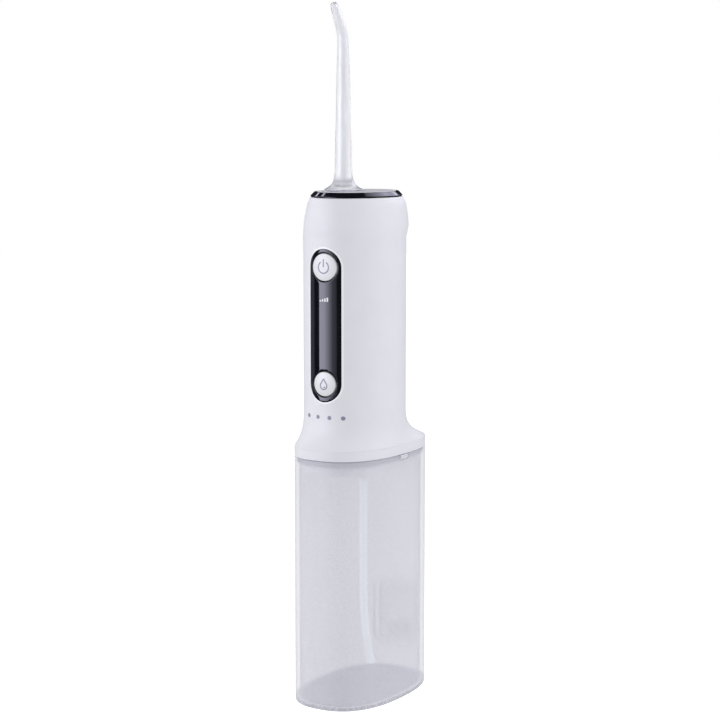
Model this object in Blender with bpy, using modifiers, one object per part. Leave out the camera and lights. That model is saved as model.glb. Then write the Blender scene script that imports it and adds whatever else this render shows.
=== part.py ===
"""A cordless water flosser: a frosted tank, and a handle with a motor, a piston pump and a jet nozzle.

Sizes are in millimetres, and MM turns them into metres. +Z is up, the buttons face -Y, and the
origin is the middle of the tank's underside. Neighbouring pieces keep GAP between them.
"""

import math

import bmesh
import bpy
from mathutils import Matrix, Vector

MM = 0.001
GAP = 0.3
OUTLINE_POINTS = 40

# Tank
TANK_HALF_X = 21.0
TANK_HALF_Y = 33.3
TANK_POWER = 2.5
TANK_WALL = 1.8
TANK_FLOOR = 1.5
TANK_EDGE = 1.6
TANK_STEP = 99.1
TANK_LIP = 0.9
TANK_TOP = 101.4
TANK_FILLET = 1.2

# Filler cap on the tank's rear wall
CAP_WIDTH = 17.6
CAP_LOW = 13.0
CAP_HIGH = 40.0
CAP_PANEL = 0.9
CAP_RECESS = 1.2
CAP_PAD = 1.3
CAP_CORNER = 4.0
CAP_PAD_MARGIN = 1.5
CAP_BAND_LOW = 8.0
CAP_BAND_HIGH = 45.0
PORT_Z = 19.5
PORT_RADIUS = 4.6

# Catches that stand in notches of the tank's lip: near X, far X, half width
CATCH = (19.75, 20.8, 2.6)
SEAL_NOTCH = (19.55, 22.0, 3.0)
LIP_NOTCH = (19.6, 21.5, 2.9)

# Base that closes the handle, with a hollow tray and a boss and spigot for the hose
BASE_HIGH = TANK_TOP + GAP + 1.6
TRAY_INSET = 2.9
TRAY_LOW = 95.2
TRAY_WALL = 1.5
TRAY_ROOF = 100.6
BOSS_RADIUS = 3.4
NIPPLE_RADIUS = 1.6
PASSAGE_RADIUS = 0.8
BASE_SCREWS = ((11.0, 18.0), (-11.0, 18.0), (-11.0, -18.0), (11.0, -18.0))
BASE_SCREW_LENGTH = 4.5
BASE_SCREW_HOLE = 1.3
TANK_SEAL_INSETS = (1.2, 2.6)

# Handle shell: a vertical flange over the tank, a concave flare, then oval sections up to the ring
FLANGE_LOW = TANK_TOP + GAP
FLANGE_HIGH = 105.7
FLANGE_EDGE = 0.4
FLARE_RISE = 14.0
FLARE_POWER = 2.8
SHELL_WALL = 1.8
# height, half width, half depth, centre in Y
GRIP_SECTIONS = (
    (119.7, 19.7, 23.3, -4.6),
    (189.0, 19.7, 23.3, -4.6),
    (191.5, 19.65, 24.2, -3.9),
    (193.8, 19.6, 24.7, -3.45),
    (198.4, 19.1, 24.1, -3.2),
    (202.6, 18.2, 23.2, -3.1),
    (205.1, 16.9, 22.4, -3.2),
)
GRIP_POWER = 2.0

# Trim ring and deck at the top
RING_LOW = 205.4
RING_HIGH = 207.3
RING_HALF_X = 16.8
RING_HALF_Y = 22.3
RING_CENTRE_Y = -3.2
RING_CHAMFER = 1.6
RING_INNER = 2.2
DECK_HIGH = 207.4
DECK_DOME = 0.4
RING_LEDGE = 1.1
SKIRT_DROP = 3.2
SKIRT_OUTSIDE = 2.3
SKIRT_INSIDE = 3.2

# Front panel and its buttons
PANEL_HALF_WIDTH = 7.4
PANEL_THICK = 1.5
POWER_Z = 178.15
MODE_Z = 131.75
POWER_RADIUS = 5.5
MODE_RADIUS = 4.95
BUTTON_FRONT = -28.2
BUTTON_BACK = -25.8
LEVEL_Z = 165.4
LEVEL_HALF = 2.2
STEM_RADIUS = 1.6
STEM_LENGTH = 1.0

# Jet nozzle, upright and then bent towards the front
NOZZLE_Y = -13.2
NOZZLE_FOOT = 208.1
NOZZLE_BORE = 1.1
JET_BORE = 0.45
BORE_TAPER_LOW = 259.7
# distance towards the front, height, outer radius
NOZZLE_STATIONS = (
    (0.0, NOZZLE_FOOT, 7.65),
    (0.0, 208.7, 6.9),
    (0.0, 209.8, 5.2),
    (0.0, 211.4, 4.2),
    (0.0, 213.8, 3.6),
    (0.0, 218.5, 3.35),
    (0.0, 228.1, 3.2),
    (0.0, 238.6, 2.9),
    (0.0, 250.1, 2.75),
    (0.0, 259.7, 2.45),
    (0.0, 264.5, 2.3),
    (0.35, 267.9, 2.25),
    (1.4, 271.4, 2.15),
    (3.3, 274.9, 2.0),
    (5.3, 278.0, 1.75),
    (7.0, 280.7, 1.35),
)
NOZZLE_SIDES = 16
PLUG_RADIUS = 2.9
PLUG_LOW = 197.0

SEAL_GROOVE = 0.45
SEAL_HALF = 0.45
NOZZLE_SEAL_Z = 200.3
SEAT_SEAL_Z = 191.5

# Seat that the nozzle plugs into, and the fixed manifold under it
SEAT_RADIUS = 4.9
SEAT_HIGH = 207.6
SEAT_LOW = 196.2
SPIGOT_RADIUS = 2.6
SPIGOT_LOW = 189.0
MANIFOLD_RADIUS = 5.6
MANIFOLD_LOW = 183.0
MANIFOLD_HIGH = 195.6

# Release button in the rear bump
RELEASE_LOW = 194.6
RELEASE_HIGH = 201.0
RELEASE_HALF_WIDTH = 5.0
RELEASE_TRAVEL = 1.8
RELEASE_CORNER = 1.6
RELEASE_THICK = 2.6
LATCH_HALF_WIDTH = 3.5
LATCH_BACK = 16.6
LATCH_LOW = 199.4
LATCH_HIGH = 200.6

# Drive: motor across the handle, a reduction gear with a crank, and a vertical piston pump
GEAR_MODULE = 0.42
PINION_TEETH = 12
GEAR_TEETH = 36
PRESSURE_ANGLE = math.radians(25)
BACKLASH = 0.06
GEAR_X = (10.8, 13.6)
MOTOR_Y = -10.3
MOTOR_Z = 120.0
MOTOR_RADIUS = 7.5
MOTOR_ENDS = (-10.2, 7.0)
MOTOR_FLAT = 6.4
SHAFT_RADIUS = 1.0
SHAFT_ENDS = (-9.8, 15.0)
GEAR_PLATE_X = (14.1, 15.3)
AXLE_RADIUS = 1.0
AXLE_X = (11.6, 15.6)
GEAR_OFFSET_Y = 1.8
GEAR_Y = MOTOR_Y + GEAR_OFFSET_Y
GEAR_Z = MOTOR_Z + math.sqrt((GEAR_MODULE * (PINION_TEETH + GEAR_TEETH) / 2) ** 2 - GEAR_OFFSET_Y**2)
CRANK_THROW = 3.0
CRANK_PIN_RADIUS = 1.2
ROD_X = (8.1, 10.1)
ROD_EYE_RADIUS = 1.35
ROD_END_RADIUS = 2.3
ROD_TOP = 149.0
PUMP_X = 9.1
PUMP_Y = GEAR_Y
PUMP_RADIUS = 5.0
PUMP_BORE = 3.2
PUMP_LOW = 143.0
PUMP_HIGH = 166.0
VALVE_SPACING = 2.4
HEAD_HIGH = 176.0
CHAMBER_LOW = 169.5
CHAMBER_RADIUS = 1.7
VALVE_SEAT_RADIUS = 0.9
VALVE_RADIUS = 1.3
BARB_RADIUS = 1.4
BARB_BORE = 0.7
BARB_LOW = 175.2
BARB_HIGH = 179.5
INLET_TUBE_RADIUS = 1.5
OUTLET_TUBE_RADIUS = 1.4

# Battery, boards and charging
BATTERY_RADIUS = 9.1
BATTERY_Y = 7.2
BATTERY_LOW = 121.5
BATTERY_LENGTH = 65.0
BOARD_BACK = -20.1
BOARD_FRONT = -21.5
BOARD_HALF_WIDTH = 7.5
BOARD_LOW = 124.0
BOARD_HIGH = 183.0
BOARD_SCREW_X = -5.0
BOARD_SCREW_HEIGHTS = (140.0, 156.0)
SWITCH_HALF = 2.3
SWITCH_FRONT = -23.3
PLUNGER_FRONT = -23.8
PLUNGER_RADIUS = 1.2
LEAD_RADIUS = 0.5
COVER_LOW = 114.0
COVER_HIGH = 122.0
COVER_HALF_WIDTH = 7.0
COVER_CORNER = 1.5
COVER_THICK = 1.6
SOCKET_Z = 117.9
SOCKET_HALF_WIDTH = 4.5
SOCKET_HALF_HEIGHT = 1.6
SOCKET_WALL = 0.4

# Suction hose in the tank
HOSE_RADIUS = 1.6
HOSE_END_RADIUS = 1.4
HOSE_END_LENGTH = 4.6
HOSE_END_BORE = 0.7
HOSE_TOP = (0.0, 1.9, 89.3)
HOSE_ROUTE = (
    HOSE_TOP,
    (0.0, 1.9, 80.0),
    (0.0, 1.9, 66.0),
    (0.0, 2.0, 52.0),
    (0.0, 2.3, 40.0),
    (0.0, 3.2, 30.0),
    (0.0, 4.9, 20.5),
    (0.0, 7.3, 12.6),
    (0.0, 8.3, 10.0),
)

parts = bpy.data.collections.new("water_flosser")
cutters = bpy.data.collections.new("cutters")


def clear_scene():
    for item in list(bpy.data.objects):
        bpy.data.objects.remove(item, do_unlink=True)
    for group in (parts, cutters):
        bpy.context.scene.collection.children.link(group)


def material(name, colour, roughness=0.4, metallic=0.0, alpha=1.0):
    made = bpy.data.materials.new(name)
    made.use_nodes = True
    shader = made.node_tree.nodes["Principled BSDF"]
    shader.inputs["Base Color"].default_value = (*colour, 1.0)
    shader.inputs["Roughness"].default_value = roughness
    shader.inputs["Metallic"].default_value = metallic
    shader.inputs["Alpha"].default_value = alpha
    return made


def place(name, mesh, look=None):
    """Links a mesh as a part, or as a cutter where it has no material."""
    made = bpy.data.objects.new(name, mesh)
    if look:
        mesh.materials.clear()
        mesh.materials.append(look)
        parts.objects.link(made)
    else:
        made.hide_render = True
        made.display_type = "WIRE"
        cutters.objects.link(made)
    return made


def smooth(mesh, angle=35):
    mesh.shade_smooth()
    mesh.set_sharp_from_angle(angle=math.radians(angle))


# Shapes


def superellipse(half_x, half_y, centre_y=0.0, power=2.0, count=OUTLINE_POINTS):
    """Points of a rounded outline, anticlockwise from above."""
    points = []
    for step in range(count):
        angle = 2 * math.pi * step / count
        across, along = math.cos(angle), math.sin(angle)
        x = half_x * math.copysign(abs(across) ** (2 / power), across)
        y = half_y * math.copysign(abs(along) ** (2 / power), along)
        points.append((x, y + centre_y))
    return points


def level(outline, z):
    return [(x, y, z) for x, y in outline]


def loft(name, rings, look=None, looped=False):
    """A skin over rings with the same number of points, capped at its ends or closed on itself."""
    form = bmesh.new()
    layers = [[form.verts.new(Vector(point) * MM) for point in ring] for ring in rings]
    following = layers[1:] + layers[:1] if looped else layers[1:]
    for low, high in zip(layers, following):
        for here in range(len(low)):
            there = (here + 1) % len(low)
            form.faces.new((low[here], low[there], high[there], high[here]))
    if not looped:
        form.faces.new(reversed(layers[0]))
        form.faces.new(layers[-1])
    bmesh.ops.recalc_face_normals(form, faces=form.faces)
    mesh = bpy.data.meshes.new(name)
    form.to_mesh(mesh)
    form.free()
    smooth(mesh)
    return place(name, mesh, look)


def box(name, low, high, look=None, bevel=0.0):
    size = Vector(high) - Vector(low)
    centre = (Vector(high) + Vector(low)) / 2
    form = bmesh.new()
    bmesh.ops.create_cube(form, size=1.0, matrix=Matrix.Diagonal((*(size * MM), 1.0)))
    mesh = bpy.data.meshes.new(name)
    form.to_mesh(mesh)
    form.free()
    made = place(name, mesh, look)
    made.location = centre * MM
    if bevel:
        rounding = made.modifiers.new("edges", "BEVEL")
        rounding.width = bevel * MM
        rounding.segments = 2
    return made


def rod(name, radius, start, end, look=None, sides=16):
    """A round bar from start to end."""
    start, end = Vector(start), Vector(end)
    form = bmesh.new()
    bmesh.ops.create_cone(
        form,
        cap_ends=True,
        segments=sides,
        radius1=radius * MM,
        radius2=radius * MM,
        depth=(end - start).length * MM,
    )
    mesh = bpy.data.meshes.new(name)
    form.to_mesh(mesh)
    form.free()
    smooth(mesh)
    made = place(name, mesh, look)
    made.location = (start + end) / 2 * MM
    made.rotation_euler = (end - start).to_track_quat("Z", "Y").to_euler()
    return made


def turned(name, profile, centre, look=None, sides=24, looped=False, facing="Z"):
    """A profile of (radius, height) points, top to bottom on the outside, turned about an axis."""
    mesh = bpy.data.meshes.new(name)
    count = len(profile)
    edges = [(here, here + 1) for here in range(count - 1)]
    if looped:
        edges.append((count - 1, 0))
    mesh.from_pydata([(radius * MM, 0.0, height * MM) for radius, height in profile], edges, [])
    made = place(name, mesh, look)
    made.location = Vector(centre) * MM
    made.rotation_euler = {"Z": (0, 0, 0), "X": (0, math.pi / 2, 0), "-Y": (math.pi / 2, 0, 0)}[facing]
    screw = made.modifiers.new("turn", "SCREW")
    screw.steps = sides
    screw.render_steps = sides
    screw.use_merge_vertices = True
    screw.merge_threshold = 0.00001
    return made


PLANES = {
    "XY": Matrix.Identity(4),
    "XZ": Matrix(((1, 0, 0, 0), (0, 0, -1, 0), (0, 1, 0, 0), (0, 0, 0, 1))),
    "YZ": Matrix(((0, 0, 1, 0), (1, 0, 0, 0), (0, 1, 0, 0), (0, 0, 0, 1))),
}


def curve_to_mesh(name, curve, matrix, look):
    guide = bpy.data.objects.new(name + "_guide", curve)
    cutters.objects.link(guide)
    guide.hide_render = True
    bpy.context.view_layer.update()
    shape = guide.evaluated_get(bpy.context.evaluated_depsgraph_get())
    mesh = bpy.data.meshes.new_from_object(shape)
    mesh.name = name
    form = bmesh.new()
    form.from_mesh(mesh)
    bmesh.ops.remove_doubles(form, verts=form.verts, dist=0.000001)
    form.to_mesh(mesh)
    form.free()
    bpy.data.objects.remove(guide)
    made = place(name, mesh, look)
    made.matrix_world = matrix
    return made


def plate(name, outline, span, plane="XZ", look=None, origin=(0, 0)):
    """A flat outline in a plane, extruded between the two distances of span along the plane's normal.

    The normal is +Z for XY and +X for YZ; for XZ it is -Y, so span is given towards the front.
    """
    curve = bpy.data.curves.new(name, "CURVE")
    curve.dimensions = "2D"
    curve.fill_mode = "BOTH"
    curve.extrude = (span[1] - span[0]) / 2 * MM
    spline = curve.splines.new("POLY")
    spline.points.add(len(outline) - 1)
    for point, (across, along) in zip(spline.points, outline):
        point.co = (across * MM, along * MM, 0, 1)
    spline.use_cyclic_u = True
    shift = Matrix.Translation(Vector((origin[0], origin[1], (span[0] + span[1]) / 2)) * MM)
    return curve_to_mesh(name, curve, PLANES[plane] @ shift, look)


def smooth_route(points, spacing):
    """Points about a spacing apart on a Catmull-Rom curve through the route's own points."""
    route = [Vector(point) for point in points]
    ends = [2 * route[0] - route[1]] + route + [2 * route[-1] - route[-2]]
    found = [route[0]]
    for before, start, end, after in zip(ends, ends[1:], ends[2:], ends[3:]):
        steps = max(1, round((end - start).length / spacing))
        for step in range(1, steps + 1):
            t = step / steps
            found.append(
                0.5
                * (
                    2 * start
                    + (end - before) * t
                    + (2 * before - 5 * start + 4 * end - after) * t**2
                    + (3 * start - before - 3 * end + after) * t**3
                )
            )
    return found


def tube(name, route, radius, look, spacing=None):
    """A plain round tube along a smooth route."""
    curve = bpy.data.curves.new(name, "CURVE")
    curve.dimensions = "3D"
    curve.bevel_depth = radius * MM
    curve.bevel_resolution = 2
    curve.use_fill_caps = True
    points = smooth_route(route, spacing or 2.5 * 2 * radius)
    spline = curve.splines.new("POLY")
    spline.points.add(len(points) - 1)
    for control, point in zip(spline.points, points):
        control.co = (*(point * MM), 1)
    made = bpy.data.objects.new(name, curve)
    curve.materials.append(look)
    parts.objects.link(made)
    return made


def boolean(target, other, operation):
    """Cuts, joins or keeps the overlap of other. It joins cutters only, so other is never a part."""
    step = target.modifiers.new(operation.lower(), "BOOLEAN")
    step.operation = operation
    step.solver = "EXACT"
    step.object = other


def cut(target, *others):
    for other in others:
        boolean(target, other, "DIFFERENCE")


def join(target, *others):
    for other in others:
        boolean(target, other, "UNION")


def stadium(half_width, low, high, grow=0.0, steps=12):
    """An upright outline with round ends, in X and Z. low and high are the centres of its ends."""
    radius = half_width + grow
    points = []
    for centre, turn in ((high, 0.0), (low, math.pi)):
        for step in range(steps + 1):
            angle = turn + math.pi * step / steps
            points.append((radius * math.cos(angle), centre + radius * math.sin(angle)))
    return points


def round_box(half_width, low, high, corner, grow=0.0, steps=4):
    """A rectangle with round corners, in X and Z."""
    points = []
    width, bottom, top = half_width + grow, low - grow, high + grow
    corners = (
        (width - corner, top - corner),
        (corner - width, top - corner),
        (corner - width, bottom + corner),
        (width - corner, bottom + corner),
    )
    for quarter, (x, z) in enumerate(corners):
        for step in range(steps + 1):
            angle = math.pi / 2 * (quarter + step / steps)
            points.append((x + corner * math.cos(angle), z + corner * math.sin(angle)))
    return points


# Outlines of the body


def tank_outline(inset=0.0):
    return superellipse(TANK_HALF_X - inset, TANK_HALF_Y - inset, 0.0, TANK_POWER)


def tank_band(name, outside, inside, low, high, look=None):
    """A closed band between two insets of the tank's outline."""
    corners = ((outside, low), (outside, high), (inside, high), (inside, low))
    return loft(name, [level(tank_outline(inset), z) for inset, z in corners], look, looped=True)


def side_box(name, side, span, low, high, look=None, bevel=0.0):
    """A box at the tank's left (side -1) or right (side 1) edge. span is near X, far X and half width."""
    near, far, half = span
    first, last = sorted((side * near, side * far))
    return box(name, (first, -half, low), (last, half, high), look, bevel)


def grip_values(z):
    """Half width, half depth, centre and power of the handle's outside at a height."""
    if z <= GRIP_SECTIONS[0][0]:
        spread = max(0.0, 1 - max(0.0, z - FLANGE_HIGH) / FLARE_RISE) ** FLARE_POWER
        narrow = (*GRIP_SECTIONS[0][1:], GRIP_POWER)
        wide = (TANK_HALF_X, TANK_HALF_Y, 0.0, TANK_POWER)
        return tuple(n + (w - n) * spread for n, w in zip(narrow, wide))
    for below, above in zip(GRIP_SECTIONS, GRIP_SECTIONS[1:]):
        if z <= above[0]:
            part = (z - below[0]) / (above[0] - below[0])
            return tuple(b + (a - b) * part for b, a in zip(below[1:], above[1:])) + (GRIP_POWER,)
    return (*GRIP_SECTIONS[-1][1:], GRIP_POWER)


def grip_ring(z, inset=0.0, at=None):
    half_x, half_y, centre, power = grip_values(z)
    return level(superellipse(half_x - inset, half_y - inset, centre, power), z if at is None else at)


def ring_outline(inset=0.0):
    return superellipse(RING_HALF_X - inset, RING_HALF_Y - inset, RING_CENTRE_Y)


def skin_slab(name, low, high, depth, heights=()):
    """A band of the handle's outer skin, from its surface to a depth, used to shape inset pieces."""
    levels = [low, *heights, high]
    outer = [grip_ring(z) for z in levels]
    inner = [grip_ring(z, depth) for z in reversed(levels)]
    return loft(name, outer + inner, None, looped=True)


# Tank


def make_tank(frosted, rubber):
    outer = [
        level(tank_outline(TANK_EDGE), 0.0),
        level(tank_outline(TANK_EDGE * 0.3), TANK_EDGE * 0.3),
        level(tank_outline(), TANK_EDGE),
        level(tank_outline(), TANK_TOP),
    ]
    inner = [
        level(tank_outline(TANK_LIP), TANK_TOP),
        level(tank_outline(TANK_LIP), TANK_STEP),
        level(tank_outline(TANK_WALL), TANK_STEP),
        level(tank_outline(TANK_WALL), TANK_FLOOR + TANK_FILLET),
        level(tank_outline(TANK_WALL + TANK_FILLET), TANK_FLOOR),
    ]
    tank = loft("water_tank", outer + inner, frosted)

    rear = -TANK_HALF_Y
    reach = (rear - 2, -25.0)
    heights = (CAP_BAND_LOW, CAP_BAND_HIGH)
    flap = (CAP_WIDTH / 2, CAP_LOW, CAP_HIGH, CAP_CORNER)
    pad = plate("filler_pad", round_box(*flap, CAP_PAD_MARGIN), (rear, -25.0))
    boolean(pad, tank_band("pad_band", TANK_WALL - 0.6, TANK_WALL + CAP_PAD, *heights), "INTERSECT")
    recess = plate("filler_recess", round_box(*flap, GAP), reach)
    boolean(recess, tank_band("recess_band", -1.0, CAP_RECESS, *heights), "INTERSECT")
    port = rod("filler_port", PORT_RADIUS, (0, 27, PORT_Z), (0, 36, PORT_Z), sides=24)
    join(tank, pad)
    cut(tank, recess, port)
    for side in (-1, 1):
        cut(tank, side_box(f"lip_notch_{side}", side, LIP_NOTCH, TANK_STEP + 0.05, TANK_TOP + 1))

    cap = plate("filler_cap", round_box(*flap), reach, look=rubber)
    boolean(cap, tank_band("cap_band", 0.05, CAP_PANEL, *heights), "INTERSECT")
    plug = rod("filler_plug", PORT_RADIUS - 2 * GAP, (0, 29.6, PORT_Z), (0, 32.8, PORT_Z), sides=24)
    join(cap, plug)


# Handle


def make_shell(white):
    flare = [FLANGE_HIGH + FLARE_RISE * part for part in (0.06, 0.12, 0.2, 0.3, 0.42, 0.58, 0.78)]
    heights = [section[0] for section in GRIP_SECTIONS]
    outer = [
        grip_ring(FLANGE_LOW),
        grip_ring(FLANGE_HIGH - FLANGE_EDGE),
        grip_ring(FLANGE_HIGH, FLANGE_EDGE),
    ]
    outer += [grip_ring(z) for z in flare + heights]
    inner = [grip_ring(z, SHELL_WALL) for z in reversed(heights)]
    inner += [grip_ring(z, SHELL_WALL, at=z - SHELL_WALL) for z in reversed(flare)]
    inner += [
        grip_ring(FLANGE_LOW, SHELL_WALL + FLANGE_EDGE, at=FLANGE_HIGH - SHELL_WALL),
        grip_ring(FLANGE_LOW, SHELL_WALL),
    ]
    shell = loft("handle_shell", outer + inner, white, looped=True)
    release = (RELEASE_HALF_WIDTH, RELEASE_LOW, RELEASE_HIGH, RELEASE_CORNER)
    cover = (COVER_HALF_WIDTH, COVER_LOW, COVER_HIGH, COVER_CORNER)
    panel_hole = plate("panel_hole", stadium(PANEL_HALF_WIDTH, MODE_Z, POWER_Z, GAP), (20.0, 32.0))
    release_hole = plate("release_hole", round_box(*release, GAP), (-24.0, -15.0))
    cover_hole = plate("cover_hole", round_box(*cover, GAP), (-24.0, -14.0))
    cut(shell, panel_hole, release_hole, cover_hole)


def make_top(black, white):
    ring = [
        level(ring_outline(), RING_LOW),
        level(ring_outline(0.25), RING_LOW + 0.35),
        level(ring_outline(RING_CHAMFER), RING_HIGH - 0.1),
        level(ring_outline(RING_CHAMFER + 0.2), RING_HIGH),
        level(ring_outline(RING_INNER), RING_HIGH),
        level(ring_outline(RING_INNER), RING_HIGH - RING_LEDGE),
        level(ring_outline(SKIRT_INSIDE), RING_HIGH - RING_LEDGE),
        level(ring_outline(SKIRT_INSIDE), RING_LOW - SKIRT_DROP),
        level(ring_outline(SKIRT_OUTSIDE), RING_LOW - SKIRT_DROP),
        level(ring_outline(SKIRT_OUTSIDE), RING_LOW),
    ]
    loft("top_ring", ring, black, looped=True)
    edge = RING_INNER + GAP
    deck = [
        level(ring_outline(edge), RING_HIGH - RING_LEDGE + GAP),
        level(ring_outline(edge), DECK_HIGH - 0.2),
        level(ring_outline(edge + 0.3), DECK_HIGH),
        level(ring_outline(edge + 4.0), DECK_HIGH + DECK_DOME * 0.6),
        level(ring_outline(edge + 8.0), DECK_HIGH + DECK_DOME * 0.95),
    ]
    plate_top = loft("top_deck", deck, white)
    cut(plate_top, rod("seat_hole", SEAT_RADIUS + GAP, (0, NOZZLE_Y, 200), (0, NOZZLE_Y, 210), sides=24))


def make_panel(black, white, light_look):
    panel = plate("front_panel", stadium(PANEL_HALF_WIDTH, MODE_Z, POWER_Z), (20.0, 32.0), look=black)
    boolean(panel, skin_slab("panel_skin", 120.0, 188.0, PANEL_THICK), "INTERSECT")
    for name, z, radius in (("power", POWER_Z, POWER_RADIUS), ("mode", MODE_Z, MODE_RADIUS)):
        cut(panel, rod(f"{name}_hole", radius + GAP, (0, -32, z), (0, -20, z), sides=32))
        front, back = -BUTTON_FRONT, -BUTTON_BACK
        button = (
            (0.0, front),
            (radius * 0.45, front - 0.07),
            (radius * 0.8, front - 0.25),
            (radius - 0.25, front - 0.5),
            (radius, front - 0.8),
            (radius, back),
            (STEM_RADIUS, back),
            (STEM_RADIUS, back - STEM_LENGTH),
            (0.0, back - STEM_LENGTH),
        )
        turned(f"{name}_button", button, (0, 0, z), white, sides=32, facing="-Y")
    low = (-LEVEL_HALF, -26.0, LEVEL_Z - LEVEL_HALF)
    box("level_light", low, (LEVEL_HALF, BOARD_FRONT - GAP, LEVEL_Z + LEVEL_HALF), light_look, 0.3)


def make_handle_base(grey, seal_look, metal):
    base = loft(
        "handle_base",
        [
            level(tank_outline(TRAY_INSET), TRAY_LOW),
            level(tank_outline(TRAY_INSET), FLANGE_LOW),
            level(tank_outline(SHELL_WALL + GAP), FLANGE_LOW),
            level(tank_outline(SHELL_WALL + GAP), BASE_HIGH),
        ],
        grey,
    )
    inside = tank_outline(TRAY_INSET + TRAY_WALL)
    cut(base, loft("base_hollow", [level(inside, TRAY_LOW - 5), level(inside, TRAY_ROOF)]))
    x, y, top = HOSE_TOP
    join(base, rod("base_spigot", HOSE_RADIUS, (x, y, top + GAP), (x, y, 101.0)))
    join(base, rod("base_boss", BOSS_RADIUS, (x, y, TRAY_LOW + 0.4), (x, y, 101.0)))
    cut(base, rod("base_passage", PASSAGE_RADIUS, (x, y, 85.0), (x, y, 110.0), sides=12))
    join(base, rod("base_nipple", NIPPLE_RADIUS, (x, y, 103.0), (x, y, 105.0)))
    cut(base, rod("base_nipple_bore", PASSAGE_RADIUS, (x, y, 99.0), (x, y, 110.0), sides=12))
    for here, (sx, sy) in enumerate(BASE_SCREWS):
        cut(base, rod(f"screw_hole_{here + 1}", BASE_SCREW_HOLE, (sx, sy, 95), (sx, sy, 110), sides=12))
        screw(f"base_screw_{here + 1}", (sx, sy, TRAY_ROOF - GAP), metal, BASE_SCREW_LENGTH)

    ring = tank_band("tank_seal", *TANK_SEAL_INSETS, TANK_STEP + 0.2, TANK_TOP, seal_look)
    for side, word in ((-1, "left"), (1, "right")):
        cut(ring, side_box(f"seal_notch_{word}", side, SEAL_NOTCH, TANK_STEP - 1, TANK_TOP + 1))
        side_box(f"tank_catch_{word}", side, CATCH, TANK_STEP + 0.5, TANK_TOP, grey, 0.25)


def screw(name, seat, look, length, radius=0.9, head=1.9):
    """An upright pan-head screw with its head under its seat."""
    profile = (
        (0.0, length),
        (radius * 0.5, length),
        (radius, length - 0.8),
        (radius, 0.0),
        (head, 0.0),
        (head, -0.6),
        (head * 0.7, -1.1),
        (0.0, -1.1),
    )
    turned(name, profile, seat, look, sides=10)


def make_frame(plastic, metal):
    frame = box("inner_frame", (-12.1, -19.6, 108.0), (12.0, -18.3, 182.0), plastic)
    join(frame, box("frame_wall", (-12.1, -19.0, 113.5), (-10.7, 9.0, 176.0)))
    join(frame, box("frame_shelf", (-11.5, -1.2, 119.8), (8.0, 11.0, 121.2)))
    corners = [
        (-15.0, 113.0),
        (-4.0, 113.0),
        (-2.5, 118.0),
        (-2.5, 134.0),
        (-5.0, 137.0),
        (-12.0, 137.0),
        (-15.0, 134.0),
    ]
    gear_plate = plate("gearbox_plate", corners, GEAR_PLATE_X, "YZ", metal)
    cut(gear_plate, rod("shaft_bore", SHAFT_RADIUS + 0.08, (13, MOTOR_Y, MOTOR_Z), (17, MOTOR_Y, MOTOR_Z)))
    cut(gear_plate, rod("axle_hole", AXLE_RADIUS + GAP, (13, GEAR_Y, GEAR_Z), (17, GEAR_Y, GEAR_Z)))
    rod("gear_axle", AXLE_RADIUS, (AXLE_X[0], GEAR_Y, GEAR_Z), (AXLE_X[1], GEAR_Y, GEAR_Z), metal)


# Drive and pump


def gear_outline(teeth, turn=0.0):
    """Involute teeth about the origin. The first tooth points along the first axis, turned by turn."""
    pitch = teeth * GEAR_MODULE / 2
    base = pitch * math.cos(PRESSURE_ANGLE)
    tip = pitch + GEAR_MODULE
    root = pitch - 1.2 * GEAR_MODULE

    def involute(angle):
        return math.tan(angle) - angle

    half = math.pi / (2 * teeth) - BACKLASH / (2 * pitch) + involute(PRESSURE_ANGLE)
    start = max(base, root)
    flank = [(root, half)]
    for radius in (start, tip):
        flank.append((radius, half - involute(math.acos(min(1.0, base / radius)))))
    tooth = [(radius, -angle) for radius, angle in flank] + [(r, a) for r, a in reversed(flank)]
    points = []
    for index in range(teeth):
        centre = turn + 2 * math.pi * index / teeth
        points += [(r * math.cos(centre + a), r * math.sin(centre + a)) for r, a in tooth]
    return points


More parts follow.
